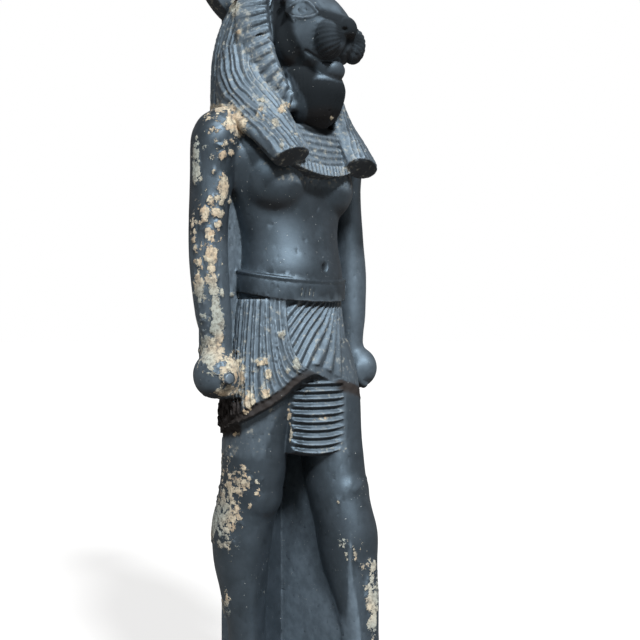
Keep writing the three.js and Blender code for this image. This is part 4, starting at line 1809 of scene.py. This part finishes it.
        # Painted shade: the grooves are darkened towards black.
        stone = tree.blend(tree.math("MULTIPLY", tree.mask("groove"), 0.85), stone, self.black_and_shade)
        # Near black, partly dark stone and partly painted shade.
        stone = tree.blend(tree.math("MULTIPLY", tree.mask("black_and_shade"), 0.9), stone, self.black_and_shade)
        # Painted shade: undersides and the hem's rim are browned; the broken corner's brown is its own.
        stone = tree.blend(tree.mask("brown_and_shade"), stone, self.brown_and_shade)
        stone = tree.blend(tree.math("MULTIPLY", specks, 0.8), stone, self.speck)
        stone = tree.blend(dust, stone, self.dust)
        cover, tone = crust
        crumb = tree.blend(tone, self.crust_pink, self.crust_light)
        crumb = tree.blend(tree.step(tree.noise(30.0, 2.0), 0.45, 0.62), crumb, self.crust_grey)
        tint = tree.step(tree.noise(1.6, 4.0, 0.7), 0.28, 0.62)
        return tree.blend(cover, stone, tree.blend(tint, self.crust_dark, crumb))

    @staticmethod
    def bump(tree: Tree, crust: bpy.types.NodeSocket, specks: bpy.types.NodeSocket) -> bpy.types.NodeSocket:
        """Returns the normal with the stone's fine grain and the crust's crumbs.

        Args:
            tree: The tree to wire.
            crust: Where crust covers the stone.
            specks: Where pale specks lie.

        Returns:
            The normal's socket.
        """
        grain = tree.math("MULTIPLY", tree.noise(0.5, 3.0, 0.6), 0.10)
        crumbs = tree.math("MULTIPLY", tree.noise(0.9, 4.0, 0.7), 0.7)
        height = tree.level(crust, grain, tree.math("ADD", crumbs, 0.25))
        height = tree.math("ADD", height, tree.math("MULTIPLY", specks, 0.08))
        node = tree.add("ShaderNodeBump")
        node.inputs["Strength"].default_value = 1.0
        node.inputs["Distance"].default_value = 0.35 / METRE
        tree.feed(node.inputs["Height"], height)
        return node.outputs["Normal"]


@dataclass
class Statue:
    """The whole carving, cut from one block of stone."""

    standing: StandingStone
    trunk: Trunk
    arms: Arms
    legs: Legs
    belt: Belt
    kilt: Kilt
    wig: Wig
    collar: Collar
    head: Head
    mane: Mane
    crown: Crown
    weather: Weather
    finish: DarkStone

    def parts(self) -> tuple[Part, ...]:
        """Returns the sub-assemblies in the order they are cut."""
        return (
            self.standing,
            self.trunk,
            self.arms,
            self.legs,
            self.belt,
            self.kilt,
            self.wig,
            self.collar,
            self.head,
            self.mane,
            self.crown,
        )

    def build(self) -> bpy.types.Object:
        """Carves the statue.

        Returns:
            The finished object, in metres, in the frame's place.
        """
        body = fused([*self.trunk.soft(), *self.arms.soft()], SOFT_VOXEL, 30)
        legs = fused(self.legs.soft(), SOFT_VOXEL, 22)
        head = fused(self.head.soft(), SOFT_VOXEL, 6)
        forms = [body, legs, head]
        for part in self.parts():
            forms.extend(part.crisp())
        stone = Stone(fused(forms, FINE_VOXEL, 1))
        log.info("fused skin: %d points", len(stone.points))
        for part in self.parts():
            part.carve(stone)
        stone.carve()
        self.weather.mark(stone)
        stone.carve()
        self.weather.bends(stone)
        return self.finished(stone)

    def finished(self, stone: Stone) -> bpy.types.Object:
        """Thins the skin, sets it in the frame and gives it its finish.

        Args:
            stone: The weathered skin.

        Returns:
            The statue's object.
        """
        mesh = stone.mesh
        for name, values in stone.masks.items():
            layer = mesh.attributes.new(name, "FLOAT", "POINT")
            layer.data.foreach_set("value", np.clip(values, 0.0, 1.0).astype(np.float32))
        mesh.calc_loop_triangles()
        ratio = min(1.0, TRIANGLES / len(mesh.loop_triangles))

        def thin(carrier: bpy.types.Object) -> None:
            """Adds the thinning to the wanted number of triangles."""
            modifier = carrier.modifiers.new("thin", "DECIMATE")
            modifier.ratio = ratio
            modifier.use_collapse_triangulate = True

        mesh = evaluated(mesh, thin)
        mesh.name = "statue_stone"
        points = read_points(mesh) * (1.0, -1.0, 1.0) + (0.0, AXIS_SETBACK, SOLE_HEIGHT)
        write_points(mesh, points / METRE)
        mesh.flip_normals()
        mesh.shade_smooth()
        mesh.materials.clear()
        mesh.materials.append(self.finish.material())
        statue = bpy.data.objects.new("statue_stone", mesh)
        bpy.context.scene.collection.objects.link(statue)
        log.info("statue_stone: %d triangles", len(mesh.polygons))
        return statue


@dataclass(frozen=True)
class SoftLight:
    """A large soft light far away, from an azimuth and elevation in degrees."""

    name: str
    azimuth: float
    elevation: float
    strength: float
    spread: float
    colour: Colour

    def place(self) -> None:
        """Sets up the light."""
        light = bpy.data.lights.new(self.name, "SUN")
        light.energy = self.strength
        light.angle = math.radians(self.spread)
        light.color = self.colour
        lamp = bpy.data.objects.new(self.name, light)
        lamp.rotation_euler = towards(self.azimuth, self.elevation).to_track_quat("Z", "Y").to_euler()
        bpy.context.scene.collection.objects.link(lamp)


def towards(azimuth: float, elevation: float) -> Vector:
    """Returns the direction from the statue to a place, where azimuth 0 is straight in front of it."""
    turn, lift = math.radians(azimuth), math.radians(elevation)
    return Vector((math.sin(turn) * math.cos(lift), -math.cos(turn) * math.cos(lift), math.sin(lift)))


@dataclass
class Studio:
    """The pale floor, the soft lights and the camera."""

    floor_radius: float = 8.0
    floor_colour: Colour = (0.95, 0.93, 0.91)
    floor_dim: Colour = (0.22, 0.21, 0.20)
    floor_glow: float = 0.7
    surround: float = 0.18
    surround_tint: Colour = (1.0, 0.88, 0.80)
    backdrop: float = 1.0
    azimuth: float = -45.0
    lights: tuple[SoftLight, ...] = (
        SoftLight("key", -20.0, 44.0, 5.0, 9.0, (0.95, 0.98, 1.0)),
        SoftLight("side", -62.0, 42.0, 1.5, 12.0, (0.90, 0.96, 1.0)),
    )

    def build(self) -> None:
        """Sets up the floor, lights, surroundings and camera."""
        self.lay_floor()
        for light in self.lights:
            light.place()
        self.surroundings()
        self.camera()

    def lay_floor(self) -> None:
        """Lays the plain pale floor."""
        bm = bmesh.new()
        bmesh.ops.create_circle(bm, cap_ends=True, segments=96, radius=self.floor_radius)
        floor = bpy.data.objects.new("floor", mesh_of(bm, "floor"))
        material = bpy.data.materials.new("floor")
        material.use_nodes = True
        tree = Tree(material.node_tree)
        seen = tree.add("ShaderNodeLightPath").outputs["Is Camera Ray"]
        matt = tree.add("ShaderNodeBsdfDiffuse")
        tree.feed(matt.inputs["Color"], tree.blend(seen, self.floor_dim, self.floor_colour))
        glow = tree.add("ShaderNodeEmission")
        tree.feed(glow.inputs["Color"], (1.0, 1.0, 1.0))
        mixed = tree.add("ShaderNodeMixShader")
        tree.feed(mixed.inputs[0], tree.math("MULTIPLY", seen, self.floor_glow))
        tree.feed(mixed.inputs[1], matt.outputs[0])
        tree.feed(mixed.inputs[2], glow.outputs[0])
        output = tree.add("ShaderNodeOutputMaterial")
        tree.feed(output.inputs["Surface"], mixed.outputs[0])
        floor.data.materials.append(material)
        bpy.context.scene.collection.objects.link(floor)

    def surroundings(self) -> None:
        """Sets the pale backdrop, which the statue sees dimmer than the camera does."""
        world = bpy.data.worlds.new("surroundings")
        world.use_nodes = True
        tree = Tree(world.node_tree)
        rays = tree.add("ShaderNodeLightPath")
        background = tree.add("ShaderNodeBackground")
        tint = tree.blend(rays.outputs["Is Camera Ray"], self.surround_tint, (1.0, 1.0, 1.0))
        tree.feed(background.inputs["Color"], tint)
        level = tree.level(rays.outputs["Is Camera Ray"], self.surround, self.backdrop)
        tree.feed(background.inputs["Strength"], level)
        output = tree.add("ShaderNodeOutputWorld")
        tree.feed(output.inputs["Surface"], background.outputs["Background"])
        bpy.context.scene.world = world

    def camera(self) -> None:
        """Sets the camera at the photograph's viewing angle."""
        lens = bpy.data.cameras.new("camera")
        lens.sensor_width = SENSOR
        lens.lens = SENSOR * FOCAL_PIXELS / PICTURE
        lens.clip_start = 0.01
        camera = bpy.data.objects.new("camera", lens)
        aside = CAMERA_SIDE * DIAGONAL
        target = Vector((aside, AXIS_SETBACK - aside, CAMERA_HEIGHT + SOLE_HEIGHT)) / METRE
        camera.location = target + towards(self.azimuth, 0.0) * CAMERA_DISTANCE / METRE
        camera.rotation_euler = Euler((math.radians(90), 0.0, math.radians(self.azimuth)))
        bpy.context.scene.collection.objects.link(camera)
        bpy.context.scene.camera = camera
        bpy.context.scene.view_settings.view_transform = "Standard"


def main() -> None:
    """Builds the statue and the studio, and reports each piece."""
    logging.basicConfig(level=logging.INFO, format="%(name)s: %(message)s")
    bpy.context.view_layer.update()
    statue = Statue(
        standing=StandingStone(),
        trunk=Trunk(),
        arms=Arms(),
        legs=Legs(),
        belt=Belt(),
        kilt=Kilt(),
        wig=Wig(),
        collar=Collar(),
        head=Head(),
        mane=Mane(),
        crown=Crown(),
        weather=Weather(),
        finish=DarkStone(),
    ).build()
    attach(statue, "root")
    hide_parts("statue")
    Studio().build()


if __name__ == "__main__":
    main()
